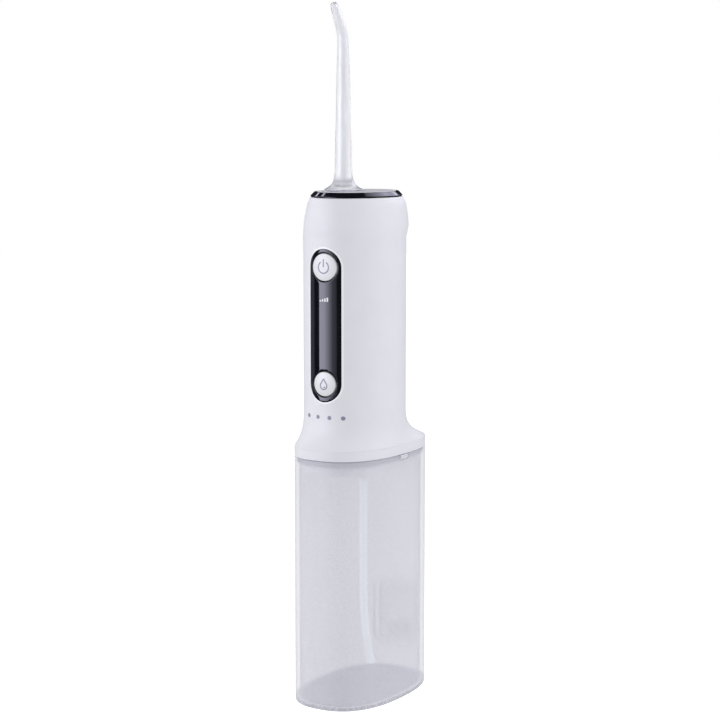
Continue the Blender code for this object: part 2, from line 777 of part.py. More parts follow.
def make_drive(metal, brass, plastic, dark):
    low, high = MOTOR_ENDS
    bore = SHAFT_RADIUS + 0.2
    can = ((MOTOR_RADIUS, high), (MOTOR_RADIUS, low), (bore, low), (bore, high))
    motor = turned("motor_can", can, (0, MOTOR_Y, MOTOR_Z), metal, looped=True, facing="X")
    cut(motor, box("motor_flat", (-12, MOTOR_Y - 9, MOTOR_Z + MOTOR_FLAT), (12, MOTOR_Y + 9, MOTOR_Z + 9)))
    start, end = SHAFT_ENDS
    rod("motor_shaft", SHAFT_RADIUS, (start, MOTOR_Y, MOTOR_Z), (end, MOTOR_Y, MOTOR_Z), metal)
    towards_gear = math.atan2(GEAR_Z - MOTOR_Z, GEAR_Y - MOTOR_Y)
    teeth = gear_outline(PINION_TEETH, towards_gear)
    pinion = plate("pinion", teeth, GEAR_X, "YZ", brass, (MOTOR_Y, MOTOR_Z))
    cut(pinion, rod("pinion_bore", SHAFT_RADIUS + GAP, (10, MOTOR_Y, MOTOR_Z), (15, MOTOR_Y, MOTOR_Z)))
    meshed = towards_gear + math.pi + math.pi / GEAR_TEETH
    gear = plate("crank_gear", gear_outline(GEAR_TEETH, meshed), GEAR_X, "YZ", plastic, (GEAR_Y, GEAR_Z))
    cut(gear, rod("gear_bore", AXLE_RADIUS + 0.06, (11.3, GEAR_Y, GEAR_Z), (15, GEAR_Y, GEAR_Z)))
    pin_z = GEAR_Z - CRANK_THROW
    join(gear, rod("crank_pin", CRANK_PIN_RADIUS, (10.4, GEAR_Y, pin_z), (11.2, GEAR_Y, pin_z)))

    left, right = ROD_X
    eye = rod("connecting_rod", ROD_END_RADIUS, (left, GEAR_Y, pin_z), (right, GEAR_Y, pin_z), plastic)
    bar = box("rod_bar", (left + 0.2, GEAR_Y - 1.1, pin_z + 1.0), (right - 0.2, GEAR_Y + 1.1, ROD_TOP))
    join(eye, bar)
    cut(eye, rod("rod_eye", ROD_EYE_RADIUS, (6, GEAR_Y, pin_z), (12, GEAR_Y, pin_z)))
    piston = (
        (0.0, 154.0),
        (2.5, 154.0),
        (2.9, 153.6),
        (2.9, 152.0),
        (2.2, 152.0),
        (2.2, 150.4),
        (2.9, 150.4),
        (2.9, 149.3),
        (0.0, 149.3),
    )
    turned("pump_piston", piston, (PUMP_X, PUMP_Y, 0), plastic)
    turned(
        "piston_seal",
        ((3.1, 151.6), (3.1, 150.8), (2.4, 150.8), (2.4, 151.6)),
        (PUMP_X, PUMP_Y, 0),
        dark,
        looped=True,
    )
    cylinder = (
        (PUMP_RADIUS, PUMP_HIGH),
        (PUMP_RADIUS, PUMP_LOW),
        (PUMP_BORE, PUMP_LOW),
        (PUMP_BORE, PUMP_HIGH),
    )
    turned("pump_cylinder", cylinder, (PUMP_X, PUMP_Y, 0), plastic, looped=True)


def make_pump_head(plastic, metal, tube_look):
    low = PUMP_HIGH + GAP
    head = turned(
        "pump_head",
        ((0.0, HEAD_HIGH), (PUMP_RADIUS, HEAD_HIGH), (PUMP_RADIUS, low), (0.0, low)),
        (PUMP_X, PUMP_Y, 0),
        plastic,
    )
    turns = [math.radians(30 * step) for step in range(7)]
    ball = [(VALVE_RADIUS * math.sin(turn), VALVE_RADIUS * math.cos(turn)) for turn in turns]
    barb = ((BARB_RADIUS, BARB_HIGH), (BARB_RADIUS, BARB_LOW), (BARB_BORE, BARB_LOW), (BARB_BORE, BARB_HIGH))
    for name, side, rest in (("inlet", -1, 173.4), ("outlet", 1, 171.5)):
        x = PUMP_X + side * VALVE_SPACING
        cut(head, rod(f"{name}_chamber", CHAMBER_RADIUS, (x, PUMP_Y, CHAMBER_LOW), (x, PUMP_Y, 180.0)))
        cut(head, rod(f"{name}_seat", VALVE_SEAT_RADIUS, (x, PUMP_Y, 160.0), (x, PUMP_Y, 172.0), sides=12))
        turned(f"{name}_valve", ball, (x, PUMP_Y, rest), metal, sides=12)
        turned(f"{name}_barb", barb, (x, PUMP_Y, 0), plastic, sides=12, looped=True)
    inlet_x = PUMP_X - VALVE_SPACING
    outlet_x = PUMP_X + VALVE_SPACING
    base_x, base_y, _ = HOSE_TOP
    inlet = (
        (base_x, base_y, 105.3),
        (base_x, base_y, 106.6),
        (-3.5, 1.5, 108.6),
        (-9.5, -0.8, 108.9),
        (-13.4, -2.2, 111.6),
        (-14.2, -2.5, 122.0),
        (-14.2, -2.5, 150.0),
        (-14.2, -2.5, 176.0),
        (-13.0, -2.8, 184.5),
        (-8.0, -3.6, 189.5),
        (0.0, -4.6, 190.5),
        (5.2, -6.2, 187.5),
        (inlet_x, PUMP_Y, 183.0),
        (inlet_x, PUMP_Y, 179.8),
    )
    tube("inlet_tube", inlet, INLET_TUBE_RADIUS, tube_look)
    outlet = (
        (outlet_x, PUMP_Y, 179.8),
        (outlet_x, PUMP_Y, 183.0),
        (11.0, -10.2, 186.6),
        (8.6, -12.3, 187.8),
        (MANIFOLD_RADIUS + GAP, NOZZLE_Y, 187.9),
    )
    tube("outlet_tube", outlet, OUTLET_TUBE_RADIUS, tube_look, spacing=2.5)


def make_nozzle(milky, white, dark):
    manifold = (
        (0.0, 186.0),
        (SPIGOT_RADIUS + 0.25, 186.0),
        (SPIGOT_RADIUS + 0.25, MANIFOLD_HIGH),
        (MANIFOLD_RADIUS, MANIFOLD_HIGH),
        (MANIFOLD_RADIUS, MANIFOLD_LOW),
        (0.0, MANIFOLD_LOW),
    )
    block = turned("nozzle_manifold", manifold, (0, NOZZLE_Y, 0), white)
    cut(block, rod("manifold_port", 1.0, (2, NOZZLE_Y, 187.9), (8, NOZZLE_Y, 187.9), sides=12))
    seat = (
        (SEAT_RADIUS, SEAT_HIGH),
        (SEAT_RADIUS, SEAT_LOW),
        (SPIGOT_RADIUS, SEAT_LOW),
        (SPIGOT_RADIUS, SEAT_SEAL_Z + SEAL_HALF + GAP),
        (SPIGOT_RADIUS - SEAL_GROOVE - GAP / 2, SEAT_SEAL_Z + SEAL_HALF + GAP),
        (SPIGOT_RADIUS - SEAL_GROOVE - GAP / 2, SEAT_SEAL_Z - SEAL_HALF - GAP),
        (SPIGOT_RADIUS, SEAT_SEAL_Z - SEAL_HALF - GAP),
        (SPIGOT_RADIUS, SPIGOT_LOW),
        (1.2, SPIGOT_LOW),
        (1.2, PLUG_LOW - 0.6),
        (PLUG_RADIUS + 0.35, PLUG_LOW - 0.6),
        (PLUG_RADIUS + 0.35, SEAT_HIGH),
    )
    turned("nozzle_seat", seat, (0, NOZZLE_Y, 0), white, looped=True)
    o_ring("seat_seal", SPIGOT_RADIUS - SEAL_GROOVE, SPIGOT_RADIUS + 0.1, SEAT_SEAL_Z, dark)
    o_ring("nozzle_seal", PLUG_RADIUS - SEAL_GROOVE, PLUG_RADIUS + 0.2, NOZZLE_SEAL_Z, dark)

    groove = [
        (0.0, NOZZLE_SEAL_Z - SEAL_HALF - GAP, PLUG_RADIUS),
        (0.0, NOZZLE_SEAL_Z - SEAL_HALF - GAP, PLUG_RADIUS - SEAL_GROOVE - GAP / 2),
        (0.0, NOZZLE_SEAL_Z + SEAL_HALF + GAP, PLUG_RADIUS - SEAL_GROOVE - GAP / 2),
        (0.0, NOZZLE_SEAL_Z + SEAL_HALF + GAP, PLUG_RADIUS),
    ]
    foot = (0.0, NOZZLE_FOOT, PLUG_RADIUS)
    outer = [(0.0, PLUG_LOW, PLUG_RADIUS), *groove, foot, *NOZZLE_STATIONS]
    inner = [(forward, z, bore_radius(z)) for forward, z, _ in reversed(NOZZLE_STATIONS)]
    inner.append((0.0, PLUG_LOW, NOZZLE_BORE))
    loft("jet_nozzle", [*bent_rings(outer), *bent_rings(inner)], milky, looped=True)


def bore_radius(z):
    """The bore is even up to the bend, and narrows through it to the jet."""
    tip = NOZZLE_STATIONS[-1][1]
    narrowing = min(1.0, max(0.0, (z - BORE_TAPER_LOW) / (tip - BORE_TAPER_LOW)))
    return NOZZLE_BORE + (JET_BORE - NOZZLE_BORE) * narrowing


def o_ring(name, inner, outer, z, look):
    cross = ((outer, z + SEAL_HALF), (outer, z - SEAL_HALF), (inner, z - SEAL_HALF), (inner, z + SEAL_HALF))
    turned(name, cross, (0, NOZZLE_Y, 0), look, sides=NOZZLE_SIDES, looped=True)


def bent_rings(stations):
    """Circles across the nozzle's centre line, which lies in the plane X = 0."""
    path = [Vector((-forward, z)) for forward, z, _ in stations]
    rings = []
    for here, (point, (_, _, radius)) in enumerate(zip(path, stations)):
        along = path[min(here + 1, len(path) - 1)] - path[max(here - 1, 0)]
        if along.y < 0:
            along = -along
        along = along.normalized() if along.length else Vector((0, 1))
        ring = []
        for step in range(NOZZLE_SIDES):
            angle = 2 * math.pi * step / NOZZLE_SIDES
            across, back = radius * math.cos(angle), radius * math.sin(angle)
            ring.append((across, NOZZLE_Y + point.x + back * along.y, point.y - back * along.x))
        rings.append(ring)
    return rings


def make_release(white, plastic):
    outline = round_box(RELEASE_HALF_WIDTH, RELEASE_LOW, RELEASE_HIGH, RELEASE_CORNER)
    button = plate("release_button", outline, (-24.0, -15.0), look=white)
    heights = [section[0] for section in GRIP_SECTIONS[2:6]]
    boolean(button, skin_slab("release_skin", 190.0, 204.0, RELEASE_THICK, heights), "INTERSECT")
    front = NOZZLE_Y + SEAT_RADIUS + RELEASE_TRAVEL + 2 * GAP
    low = (-LATCH_HALF_WIDTH, front, LATCH_LOW)
    box("release_latch", low, (LATCH_HALF_WIDTH, LATCH_BACK, LATCH_HIGH), plastic)


def make_board(green, metal, dark):
    low = (-BOARD_HALF_WIDTH, BOARD_FRONT, BOARD_LOW)
    board = box("control_board", low, (BOARD_HALF_WIDTH, BOARD_BACK, BOARD_HIGH), green)
    profile = ((0.0, 1.1), (1.3, 1.1), (1.9, 0.6), (1.9, 0.0), (0.9, 0.0), (0.9, -1.5), (0.0, -1.5))
    x = BOARD_SCREW_X
    for here, z in enumerate(BOARD_SCREW_HEIGHTS):
        cut(board, rod(f"board_hole_{here + 1}", 0.9 + GAP, (x, -25, z), (x, -18, z), sides=12))
        seat = (x, BOARD_FRONT - GAP, z)
        turned(f"board_screw_{here + 1}", profile, seat, metal, sides=10, facing="-Y")
    for name, z in (("power", POWER_Z), ("mode", MODE_Z)):
        low = (-SWITCH_HALF, SWITCH_FRONT, z - SWITCH_HALF)
        switch = box(f"{name}_switch", low, (SWITCH_HALF, BOARD_FRONT - GAP, z + SWITCH_HALF), dark)
        join(switch, rod(f"{name}_plunger", PLUNGER_RADIUS, (0, PLUNGER_FRONT, z), (0, -23.0, z), sides=12))


def make_battery(wrap, dark, red):
    top = BATTERY_LOW + BATTERY_LENGTH
    cell = (
        (0.0, top),
        (3.0, top),
        (3.0, top - 1.0),
        (BATTERY_RADIUS - 0.4, top - 1.0),
        (BATTERY_RADIUS, top - 1.4),
        (BATTERY_RADIUS, BATTERY_LOW),
        (0.0, BATTERY_LOW),
    )
    turned("battery_cell", cell, (0, BATTERY_Y, 0), wrap, sides=28)
    lead_top = top + 0.9
    plus = (
        (-1.0, 5.5, lead_top),
        (-5.0, -2.5, lead_top - 0.2),
        (-6.7, -9.0, lead_top - 0.4),
        (-6.7, -15.0, 186.5),
        (-6.2, -19.2, 185.3),
        (-5.6, -20.8, 183.5),
    )
    minus = (
        (-6.3, 4.6, lead_top - 1.0),
        (-7.6, -3.0, lead_top - 0.5),
        (-8.4, -9.0, lead_top - 0.5),
        (-8.2, -14.5, 186.3),
        (-7.6, -18.8, 185.2),
        (-7.0, -20.8, 183.5),
    )
    tube("battery_lead_plus", plus, LEAD_RADIUS, red, spacing=2.5)
    tube("battery_lead_minus", minus, LEAD_RADIUS, dark, spacing=2.5)


def make_charging(green, metal, white):
    low, high = SOCKET_Z - SOCKET_HALF_HEIGHT, SOCKET_Z + SOCKET_HALF_HEIGHT
    outline = round_box(SOCKET_HALF_WIDTH, low, high, 1.5)
    socket = plate("charge_socket", outline, (-15.4, -8.4), look=metal)
    hollow = round_box(SOCKET_HALF_WIDTH, low, high, 1.15, -SOCKET_WALL)
    cut(socket, plate("socket_hollow", hollow, (-17.0, -9.0)))
    box("charge_board", (-6.0, 4.0, 114.6), (6.0, 15.0, 115.9), green)
    outline = round_box(COVER_HALF_WIDTH, COVER_LOW, COVER_HIGH, COVER_CORNER)
    cover = plate("charge_cover", outline, (-24.0, -14.0), look=white)
    heights = (114.0, 116.0, 118.0, 120.0)
    boolean(cover, skin_slab("cover_skin", 112.0, 124.0, COVER_THICK, heights), "INTERSECT")


def make_hose(silicone, tip_look):
    tube("suction_hose", HOSE_ROUTE, HOSE_RADIUS, silicone, spacing=5.0)
    end = Vector(HOSE_ROUTE[-1])
    along = (end - Vector(HOSE_ROUTE[-2])).normalized()
    start = end + along * (GAP + 0.05)
    tip = rod("hose_end", HOSE_END_RADIUS, start, start + along * HOSE_END_LENGTH, tip_look)
    cut(tip, rod("hose_end_bore", HOSE_END_BORE, start - along, start + along * 8, sides=12))


def main():
    clear_scene()
    white = material("white_shell", (0.86, 0.85, 0.88), 0.45)
    deck = material("white_deck", (0.86, 0.86, 0.89), 0.35)
    button = material("button_white", (0.88, 0.88, 0.91), 0.4)
    black = material("gloss_black", (0.015, 0.015, 0.02), 0.08)
    frosted = material("frosted_tank", (0.78, 0.78, 0.83), 0.5, alpha=0.6)
    milky = material("milky_nozzle", (0.84, 0.84, 0.89), 0.3)
    grey = material("grey_base", (0.6, 0.6, 0.66), 0.5)
    seal = material("grey_seal", (0.5, 0.5, 0.57), 0.6)
    hose = material("hose_silicone", (0.78, 0.82, 0.9), 0.4)
    rubber = material("clear_rubber", (0.74, 0.74, 0.8), 0.5)
    steel = material("steel", (0.62, 0.62, 0.63), 0.3, 1.0)
    brass = material("brass", (0.7, 0.55, 0.28), 0.35, 1.0)
    plastic = material("inner_plastic", (0.75, 0.75, 0.77), 0.5)
    dark = material("dark_rubber", (0.05, 0.05, 0.055), 0.6)
    red = material("red_wire", (0.55, 0.05, 0.04), 0.5)
    green = material("board_green", (0.05, 0.25, 0.12), 0.4)
    wrap = material("cell_wrap", (0.1, 0.25, 0.5), 0.35)

    make_tank(frosted, rubber)
    make_shell(white)
    make_top(black, deck)
    make_panel(black, button, hose)
    make_handle_base(grey, seal, steel)
    make_frame(plastic, steel)
    make_drive(steel, brass, plastic, dark)
    make_pump_head(plastic, steel, hose)
    make_nozzle(milky, white, dark)
    make_release(white, plastic)
    make_board(green, steel, dark)
    make_battery(wrap, dark, red)
    make_charging(green, steel, white)
    make_hose(hose, rubber)


main()
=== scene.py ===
# The water flosser's looks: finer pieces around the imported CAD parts, with studio light.
# Lengths are millimetres and MM turns them into metres. +Z is up and the buttons face -Y.

import math

import bmesh
import bpy
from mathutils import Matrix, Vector, geometry


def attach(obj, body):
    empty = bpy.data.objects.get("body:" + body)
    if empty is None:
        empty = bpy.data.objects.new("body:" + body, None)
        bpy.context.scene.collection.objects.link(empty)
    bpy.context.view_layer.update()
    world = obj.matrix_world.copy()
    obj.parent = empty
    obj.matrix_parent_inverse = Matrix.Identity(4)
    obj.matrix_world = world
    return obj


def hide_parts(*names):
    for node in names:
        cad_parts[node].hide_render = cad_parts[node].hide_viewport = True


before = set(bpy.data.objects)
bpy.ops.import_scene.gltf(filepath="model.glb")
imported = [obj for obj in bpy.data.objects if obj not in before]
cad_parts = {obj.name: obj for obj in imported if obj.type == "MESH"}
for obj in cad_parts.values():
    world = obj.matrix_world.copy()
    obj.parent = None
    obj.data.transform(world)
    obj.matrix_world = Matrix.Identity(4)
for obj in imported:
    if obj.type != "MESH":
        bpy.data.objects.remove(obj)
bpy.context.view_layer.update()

MM = 0.001
GAP = 0.3
AROUND = 160
SHARP_ANGLE = 32
# How far print stands out
PROUD = 0.03

# Camera
CAMERA_AZIMUTH = 31.638
CAMERA_DISTANCE = 789.0
CAMERA_HEIGHT = 239.0
CAMERA_PITCH = 7.266
CAMERA_TURN = 0.026
CAMERA_LENS = 97.53
# The height that the lamps point at
LAMP_AIM = 120.0

# Tank
TANK_HALF_X = 21.0
TANK_HALF_Y = 33.3
TANK_POWER = 2.5
TANK_WALL = 1.8
TANK_FLOOR = 1.5
TANK_EDGE = 1.6
TANK_STEP = 99.1
TANK_LIP = 0.9
TANK_TOP = 101.4
CAP_HALF = 8.8
CAP_LOW = 13.0
CAP_HIGH = 40.0
CAP_CORNER = 4.0
CAP_MARGIN = 1.5
CAP_RECESS = 1.2
CAP_REACH = (8.0, 45.0)
CAP_RIDGES = (34.6, 36.0, 37.4)
REAR_INSIDE = 24.0
PLUG_BACK = 29.6
PLUG_FRONT = 32.8
# (depth under the surface, height) across a ridge for the fingertips
RIDGE = ((0.3, -0.35), (0.02, -0.2), (0.0, 0.0), (0.02, 0.2), (0.3, 0.35))
PORT_Z = 19.5
PORT_RADIUS = 4.6
CATCH_IN = 19.75
CATCH_OUT = 20.8
CATCH_HALF = 2.6

# Handle
FLANGE_LOW = TANK_TOP + GAP
FLANGE_HIGH = 105.7
FLANGE_EDGE = 0.15
FLARE_RISE = 14.0
FLARE_POWER = 2.8
SHELL_WALL = 1.8
# height, half width, half depth, centre in Y
GRIP_SECTIONS = (
    (119.7, 19.7, 23.3, -4.6), (189.0, 19.7, 23.3, -4.6),
    (191.5, 19.65, 24.2, -3.9), (193.8, 19.6, 24.7, -3.45), (198.4, 19.1, 24.1, -3.2),
    (202.6, 18.2, 23.2, -3.1), (205.1, 16.9, 22.4, -3.2),
)
GRIP_POWER = 2.0

# Base
BASE_LOW = 95.2
BASE_INSIDE = 100.6
SCREW_X = 11.0
SCREW_Y = 18.0

# Ring and deck at the top
RING_LOW = 205.4
RING_HIGH = 207.3
RING_HALF_X = 16.8
RING_HALF_Y = 22.3
RING_CENTRE_Y = -3.2
RING_CHAMFER = 1.6
RING_INNER = 2.2
DECK_HIGH = 207.4
DECK_DOME = 0.4

# Panel and buttons
PANEL_HALF = 7.4
PANEL_THICK = 1.5
POWER_Z = 178.15
MODE_Z = 131.75
POWER_RADIUS = 5.5
MODE_RADIUS = 4.95
BUTTON_FRONT = 28.2
BUTTON_BACK = 25.8
BUTTON_BEND = 0.4
LEVEL_Z = 165.4
# (place across, height) of each bar of the level display
LEVEL_BARS = ((-1.65, 0.6), (-0.55, 0.95), (0.55, 1.3), (1.65, 1.65))
DOTS_Z = 118.4
DOTS_X = (-8.4, -3.0, 2.4, 7.8)
DOT_RADIUS = 0.42

# Nozzle and its seat
NOZZLE_Y = -13.2
NOZZLE_FOOT = 208.1
NOZZLE_BORE = 1.1
JET_BORE = 0.45
BORE_TAPER_LOW = 259.7
# distance towards the front, height, outer radius
NOZZLE_STATIONS = (
    (0.0, 208.7, 6.9), (0.0, 209.8, 5.2), (0.0, 211.4, 4.2), (0.0, 213.8, 3.6), (0.0, 218.5, 3.35),
    (0.0, 228.1, 3.2), (0.0, 238.6, 2.9), (0.0, 250.1, 2.75), (0.0, 259.7, 2.45), (0.0, 264.5, 2.3),
    (0.35, 267.9, 2.25), (1.4, 271.4, 2.15), (3.3, 274.9, 2.0), (5.3, 278.0, 1.75), (7.0, 280.7, 1.35),
)
NOZZLE_FOOT_RADIUS = 7.65
PLUG_RADIUS = 2.9
PLUG_LOW = 197.0
NOZZLE_SEAL_Z = 200.3
GROOVE_RADIUS = 2.3
# (radius of its middle, half its thickness)
NOZZLE_SEAL = (2.775, 0.32)
SEAT_RADIUS = 4.9
SEAT_HIGH = 207.6
SEAT_LOW = 196.2
SPIGOT_RADIUS = 2.6
SPIGOT_LOW = 189.0

# The bare band round the battery cell's top starts here
CELL_BAND_Z = 184.9

# Rear pieces
RELEASE_LOW = 194.6
RELEASE_HIGH = 201.0
RELEASE_HALF = 5.0
RELEASE_CORNER = 1.6
RELEASE_RIDGES = (196.4, 197.8, 199.2)
COVER_LOW = 114.0
COVER_HIGH = 122.0
COVER_HALF = 7.0
COVER_CORNER = 1.5
COVER_RIDGE = 120.2
SOCKET_Z = 117.9

# Suction hose, on the route that its CAD solid follows
HOSE_RADIUS = 1.6
HOSE_END_RADIUS = 1.4
HOSE_END_LENGTH = 4.6
HOSE_ROUTE = (
    (0.0, 1.9, 89.3), (0.0, 1.9, 80.0), (0.0, 1.9, 66.0), (0.0, 2.0, 52.0), (0.0, 2.3, 40.0),
    (0.0, 3.2, 30.0), (0.0, 4.9, 20.5), (0.0, 7.3, 12.6), (0.0, 8.3, 10.0),
)


# Scene and camera


def placed(name, data):
    """A new object in the scene."""
    made = bpy.data.objects.new(name, data)
    bpy.context.scene.collection.objects.link(made)
    return made


def make_camera():
    lens = bpy.data.cameras.new("camera")
    lens.lens = CAMERA_LENS
    lens.clip_start = 0.01
    azimuth = math.radians(CAMERA_AZIMUTH)
    camera = placed("camera", lens)
    across, near = CAMERA_DISTANCE * math.sin(azimuth), CAMERA_DISTANCE * math.cos(azimuth)
    camera.location = Vector((across, -near, CAMERA_HEIGHT)) * MM
    turn = math.radians(CAMERA_AZIMUTH + CAMERA_TURN)
    camera.rotation_euler = (math.radians(90 - CAMERA_PITCH), 0, turn)
    bpy.context.scene.camera = camera


# Materials


def dial(node, values):
    """Sets a node's own sockets."""
    for socket, value in values.items():
        node.inputs[socket].default_value = value


def shader_tree(name):
    """A new material, with its node tree, its shader and a vector that counts millimetres."""
    made = bpy.data.materials.new(name)
    made.use_nodes = True
    tree = made.node_tree
    shader = tree.nodes["Principled BSDF"]
    place = tree.nodes.new("ShaderNodeTexCoord")
    scale = tree.nodes.new("ShaderNodeVectorMath")
    scale.operation = "SCALE"
    scale.inputs["Scale"].default_value = 1 / MM
    tree.links.new(place.outputs["Object"], scale.inputs[0])
    return made, tree, shader, scale.outputs["Vector"]


def noise(tree, vector, scale, detail=3.0, stretch=None):
    """Noise with about scale bumps in a millimetre, drawn out along an axis where stretch says so."""
    if stretch:
        squeeze = tree.nodes.new("ShaderNodeVectorMath")
        squeeze.operation = "MULTIPLY"
        squeeze.inputs[1].default_value = stretch
        tree.links.new(vector, squeeze.inputs[0])
        vector = squeeze.outputs["Vector"]
    texture = tree.nodes.new("ShaderNodeTexNoise")
    dial(texture, {"Scale": scale, "Detail": detail})
    tree.links.new(vector, texture.inputs["Vector"])
    return texture.outputs["Fac"]


def ramp(tree, value, stops):
    node = tree.nodes.new("ShaderNodeValToRGB")
    band = node.color_ramp
    while len(band.elements) < len(stops):
        band.elements.new(0.5)
    for element, (place, colour) in zip(band.elements, stops):
        element.position = place
        element.color = (*colour, 1.0)
    tree.links.new(value, node.inputs["Fac"])
    return node.outputs["Color"]


def spread(tree, value, low, high, start=0.3, end=0.7):
    """A value between start and end, mapped to a value between low and high."""
    node = tree.nodes.new("ShaderNodeMapRange")
    dial(node, {"From Min": start, "From Max": end, "To Min": low, "To Max": high})
    tree.links.new(value, node.inputs["Value"])
    return node.outputs["Result"]


def height_share(tree, vector, start, end):
    """0 at the height start and 1 at the height end."""
    parts = tree.nodes.new("ShaderNodeSeparateXYZ")
    tree.links.new(vector, parts.inputs[0])
    return spread(tree, parts.outputs["Z"], 0.0, 1.0, start, end)


def paint(tree, shader, colour, gloss, relief):
    """Joins colour, gloss (value, lowest, highest roughness) and relief (height, strength, millimetres)."""
    height, strength, distance = relief
    tree.links.new(colour, shader.inputs["Base Color"])
    tree.links.new(spread(tree, *gloss), shader.inputs["Roughness"])
    node = tree.nodes.new("ShaderNodeBump")
    dial(node, {"Strength": strength, "Distance": distance * MM})
    tree.links.new(height, node.inputs["Height"])
    tree.links.new(node.outputs["Normal"], shader.inputs["Normal"])


def mixed(tree, factor, first, second):
    """One colour socket where factor is 0 and the other where it is 1."""
    node = tree.nodes.new("ShaderNodeMix")
    node.data_type = "RGBA"
    tree.links.new(factor, node.inputs[0])
    tree.links.new(first, node.inputs[6])
    tree.links.new(second, node.inputs[7])
    return node.outputs[2]


def shade(colour, factor):
    return tuple(channel * factor for channel in colour)


def plastic(
    name, colour, roughness, grain=3.0, relief=0.01, variation=0.03, mottle=0.12,
    stretch=None, metallic=0.0, coat=0.0, specular=0.5, alpha=1.0, glow=0.0,
):
    """A moulded or machined surface: slow colour changes, uneven gloss, and a fine grain in relief."""
    made, tree, shader, vector = shader_tree(name)
    slow = noise(tree, vector, mottle, 2.0)
    tint = ramp(tree, slow, ((0.3, shade(colour, 1 - variation)), (0.7, shade(colour, 1 + variation))))
    fine = noise(tree, vector, grain, 4.0, stretch)
    paint(tree, shader, tint, (fine, roughness * 0.85, roughness * 1.15), (fine, 0.5, relief))
    dial(shader, {"Metallic": metallic, "Coat Weight": coat, "Coat Roughness": 0.08})
    dial(shader, {"Specular IOR Level": specular, "Alpha": alpha})
    dial(shader, {"Emission Color": (*colour, 1.0), "Emission Strength": glow})
    return made


def gloss_black():
    """Piano-black plastic: a deep coat with faint wiping marks in its gloss."""
    made, tree, shader, vector = shader_tree("gloss_black")
    wipe = noise(tree, vector, 0.25, 5.0, (1.0, 1.0, 0.35))
    tint = ramp(tree, wipe, ((0.3, (0.004, 0.004, 0.008)), (0.7, (0.007, 0.007, 0.012))))
    fine = noise(tree, vector, 2.5, 2.0)
    paint(tree, shader, tint, (wipe, 0.045, 0.085), (fine, 0.06, 0.002))
    dial(shader, {"Specular IOR Level": 0.55})
    return made


def frosted_tank():
    """Frosted plastic: a sandblasted grain, a denser floor, darker there and at the wall's foot by painted
    shade, and paler where the wall is seen edge on.
    """
    made, tree, shader, vector = shader_tree("frosted_tank")
    rim = tree.nodes.new("ShaderNodeLayerWeight")
    rim.inputs["Blend"].default_value = 0.5
    grain = noise(tree, vector, 1.3, 4.0)
    wall = ramp(tree, grain, ((0.3, (0.57, 0.57, 0.655)), (0.7, (0.63, 0.63, 0.715))))
    # The floor and the wall's foot take a darker colour: painted shade.
    low = ramp(tree, grain, ((0.4, (0.36, 0.36, 0.44)), (0.6, (0.6, 0.6, 0.68))))
    height = height_share(tree, vector, TANK_FLOOR + 0.2, TANK_FLOOR + 1.1)
    paint(tree, shader, mixed(tree, height, low, wall), (grain, 0.42, 0.6), (grain, 0.25, 0.02))
    edge_on = spread(tree, rim.outputs["Facing"], 0.37, 0.6, 0.6, 1.0)
    floor = tree.nodes.new("ShaderNodeMix")
    floor.inputs[2].default_value = 0.75
    tree.links.new(height, floor.inputs[0])
    tree.links.new(edge_on, floor.inputs[3])
    tree.links.new(floor.outputs[0], shader.inputs["Alpha"])
    dial(shader, {"Sheen Weight": 0.25})
    return made


def milky_nozzle():
    """Milky see-through plastic: partly clear and partly white, with faint flow lines along it."""
    made, tree, shader, vector = shader_tree("milky_nozzle")
    flow = noise(tree, vector, 1.1, 2.0, (1.0, 1.0, 0.06))
    tint = ramp(tree, flow, ((0.3, (0.93, 0.93, 0.975)), (0.7, (0.97, 0.97, 0.995))))
    paint(tree, shader, tint, (flow, 0.16, 0.24), (flow, 0.15, 0.01))
    dial(shader, {"Transmission Weight": 0.66, "IOR": 1.45})
    return made


def base_plastic():
    """The base under the handle: grey plastic that pales towards the tray's lower edge. The grey at its top,
    under the flange, is partly the plastic's grey and partly painted shade.
    """
    made, tree, shader, vector = shader_tree("grey_base")
    slow = noise(tree, vector, 0.15, 3.0)
    # Above the tank's step: the plastic's grey together with painted shade of the gap under the flange.
    grey_and_shade = ramp(tree, slow, ((0.3, (0.42, 0.42, 0.48)), (0.7, (0.48, 0.48, 0.54))))
    pale = ramp(tree, slow, ((0.3, (0.8, 0.8, 0.87)), (0.7, (0.85, 0.85, 0.91))))
    height = height_share(tree, vector, TANK_STEP - 0.2, TANK_STEP + 0.4)
    fine = noise(tree, vector, 3.0, 4.0)
    paint(tree, shader, mixed(tree, height, pale, grey_and_shade), (fine, 0.42, 0.58), (fine, 0.5, 0.02))
    return made


def circuit_board():
    """Green solder mask over copper tracks that run along the board, with bare pads between them."""
    made, tree, shader, vector = shader_tree("board_green")
    tracks = tree.nodes.new("ShaderNodeTexWave")
    tracks.wave_type = "BANDS"
    tracks.bands_direction = "X"
    dial(tracks, {"Scale": 0.22, "Distortion": 1.6, "Detail Scale": 0.3})
    tree.links.new(vector, tracks.inputs["Vector"])
    mask = ramp(tree, tracks.outputs["Fac"], ((0.44, (0.012, 0.10, 0.045)), (0.56, (0.03, 0.2, 0.09))))
    fine = noise(tree, vector, 4.0, 2.0)
    paint(tree, shader, mask, (fine, 0.25, 0.4), (tracks.outputs["Fac"], 0.3, 0.03))
    return made


def cell_wrap():
    """The shrink wrap of a battery cell: plain colour, with a bare band round the top."""
    made, tree, shader, vector = shader_tree("cell_wrap")
    slow = noise(tree, vector, 0.2, 3.0)
    wrap = ramp(tree, slow, ((0.3, (0.05, 0.17, 0.36)), (0.7, (0.06, 0.2, 0.42))))
    bare = ramp(tree, slow, ((0.3, (0.5, 0.5, 0.5)), (0.7, (0.6, 0.6, 0.6))))
    top = height_share(tree, vector, CELL_BAND_Z - 0.1, CELL_BAND_Z + 0.1)
    crease = noise(tree, vector, 0.8, 3.0, (1.0, 1.0, 0.2))
    paint(tree, shader, mixed(tree, top, wrap, bare), (crease, 0.25, 0.45), (crease, 0.2, 0.05))
    return made
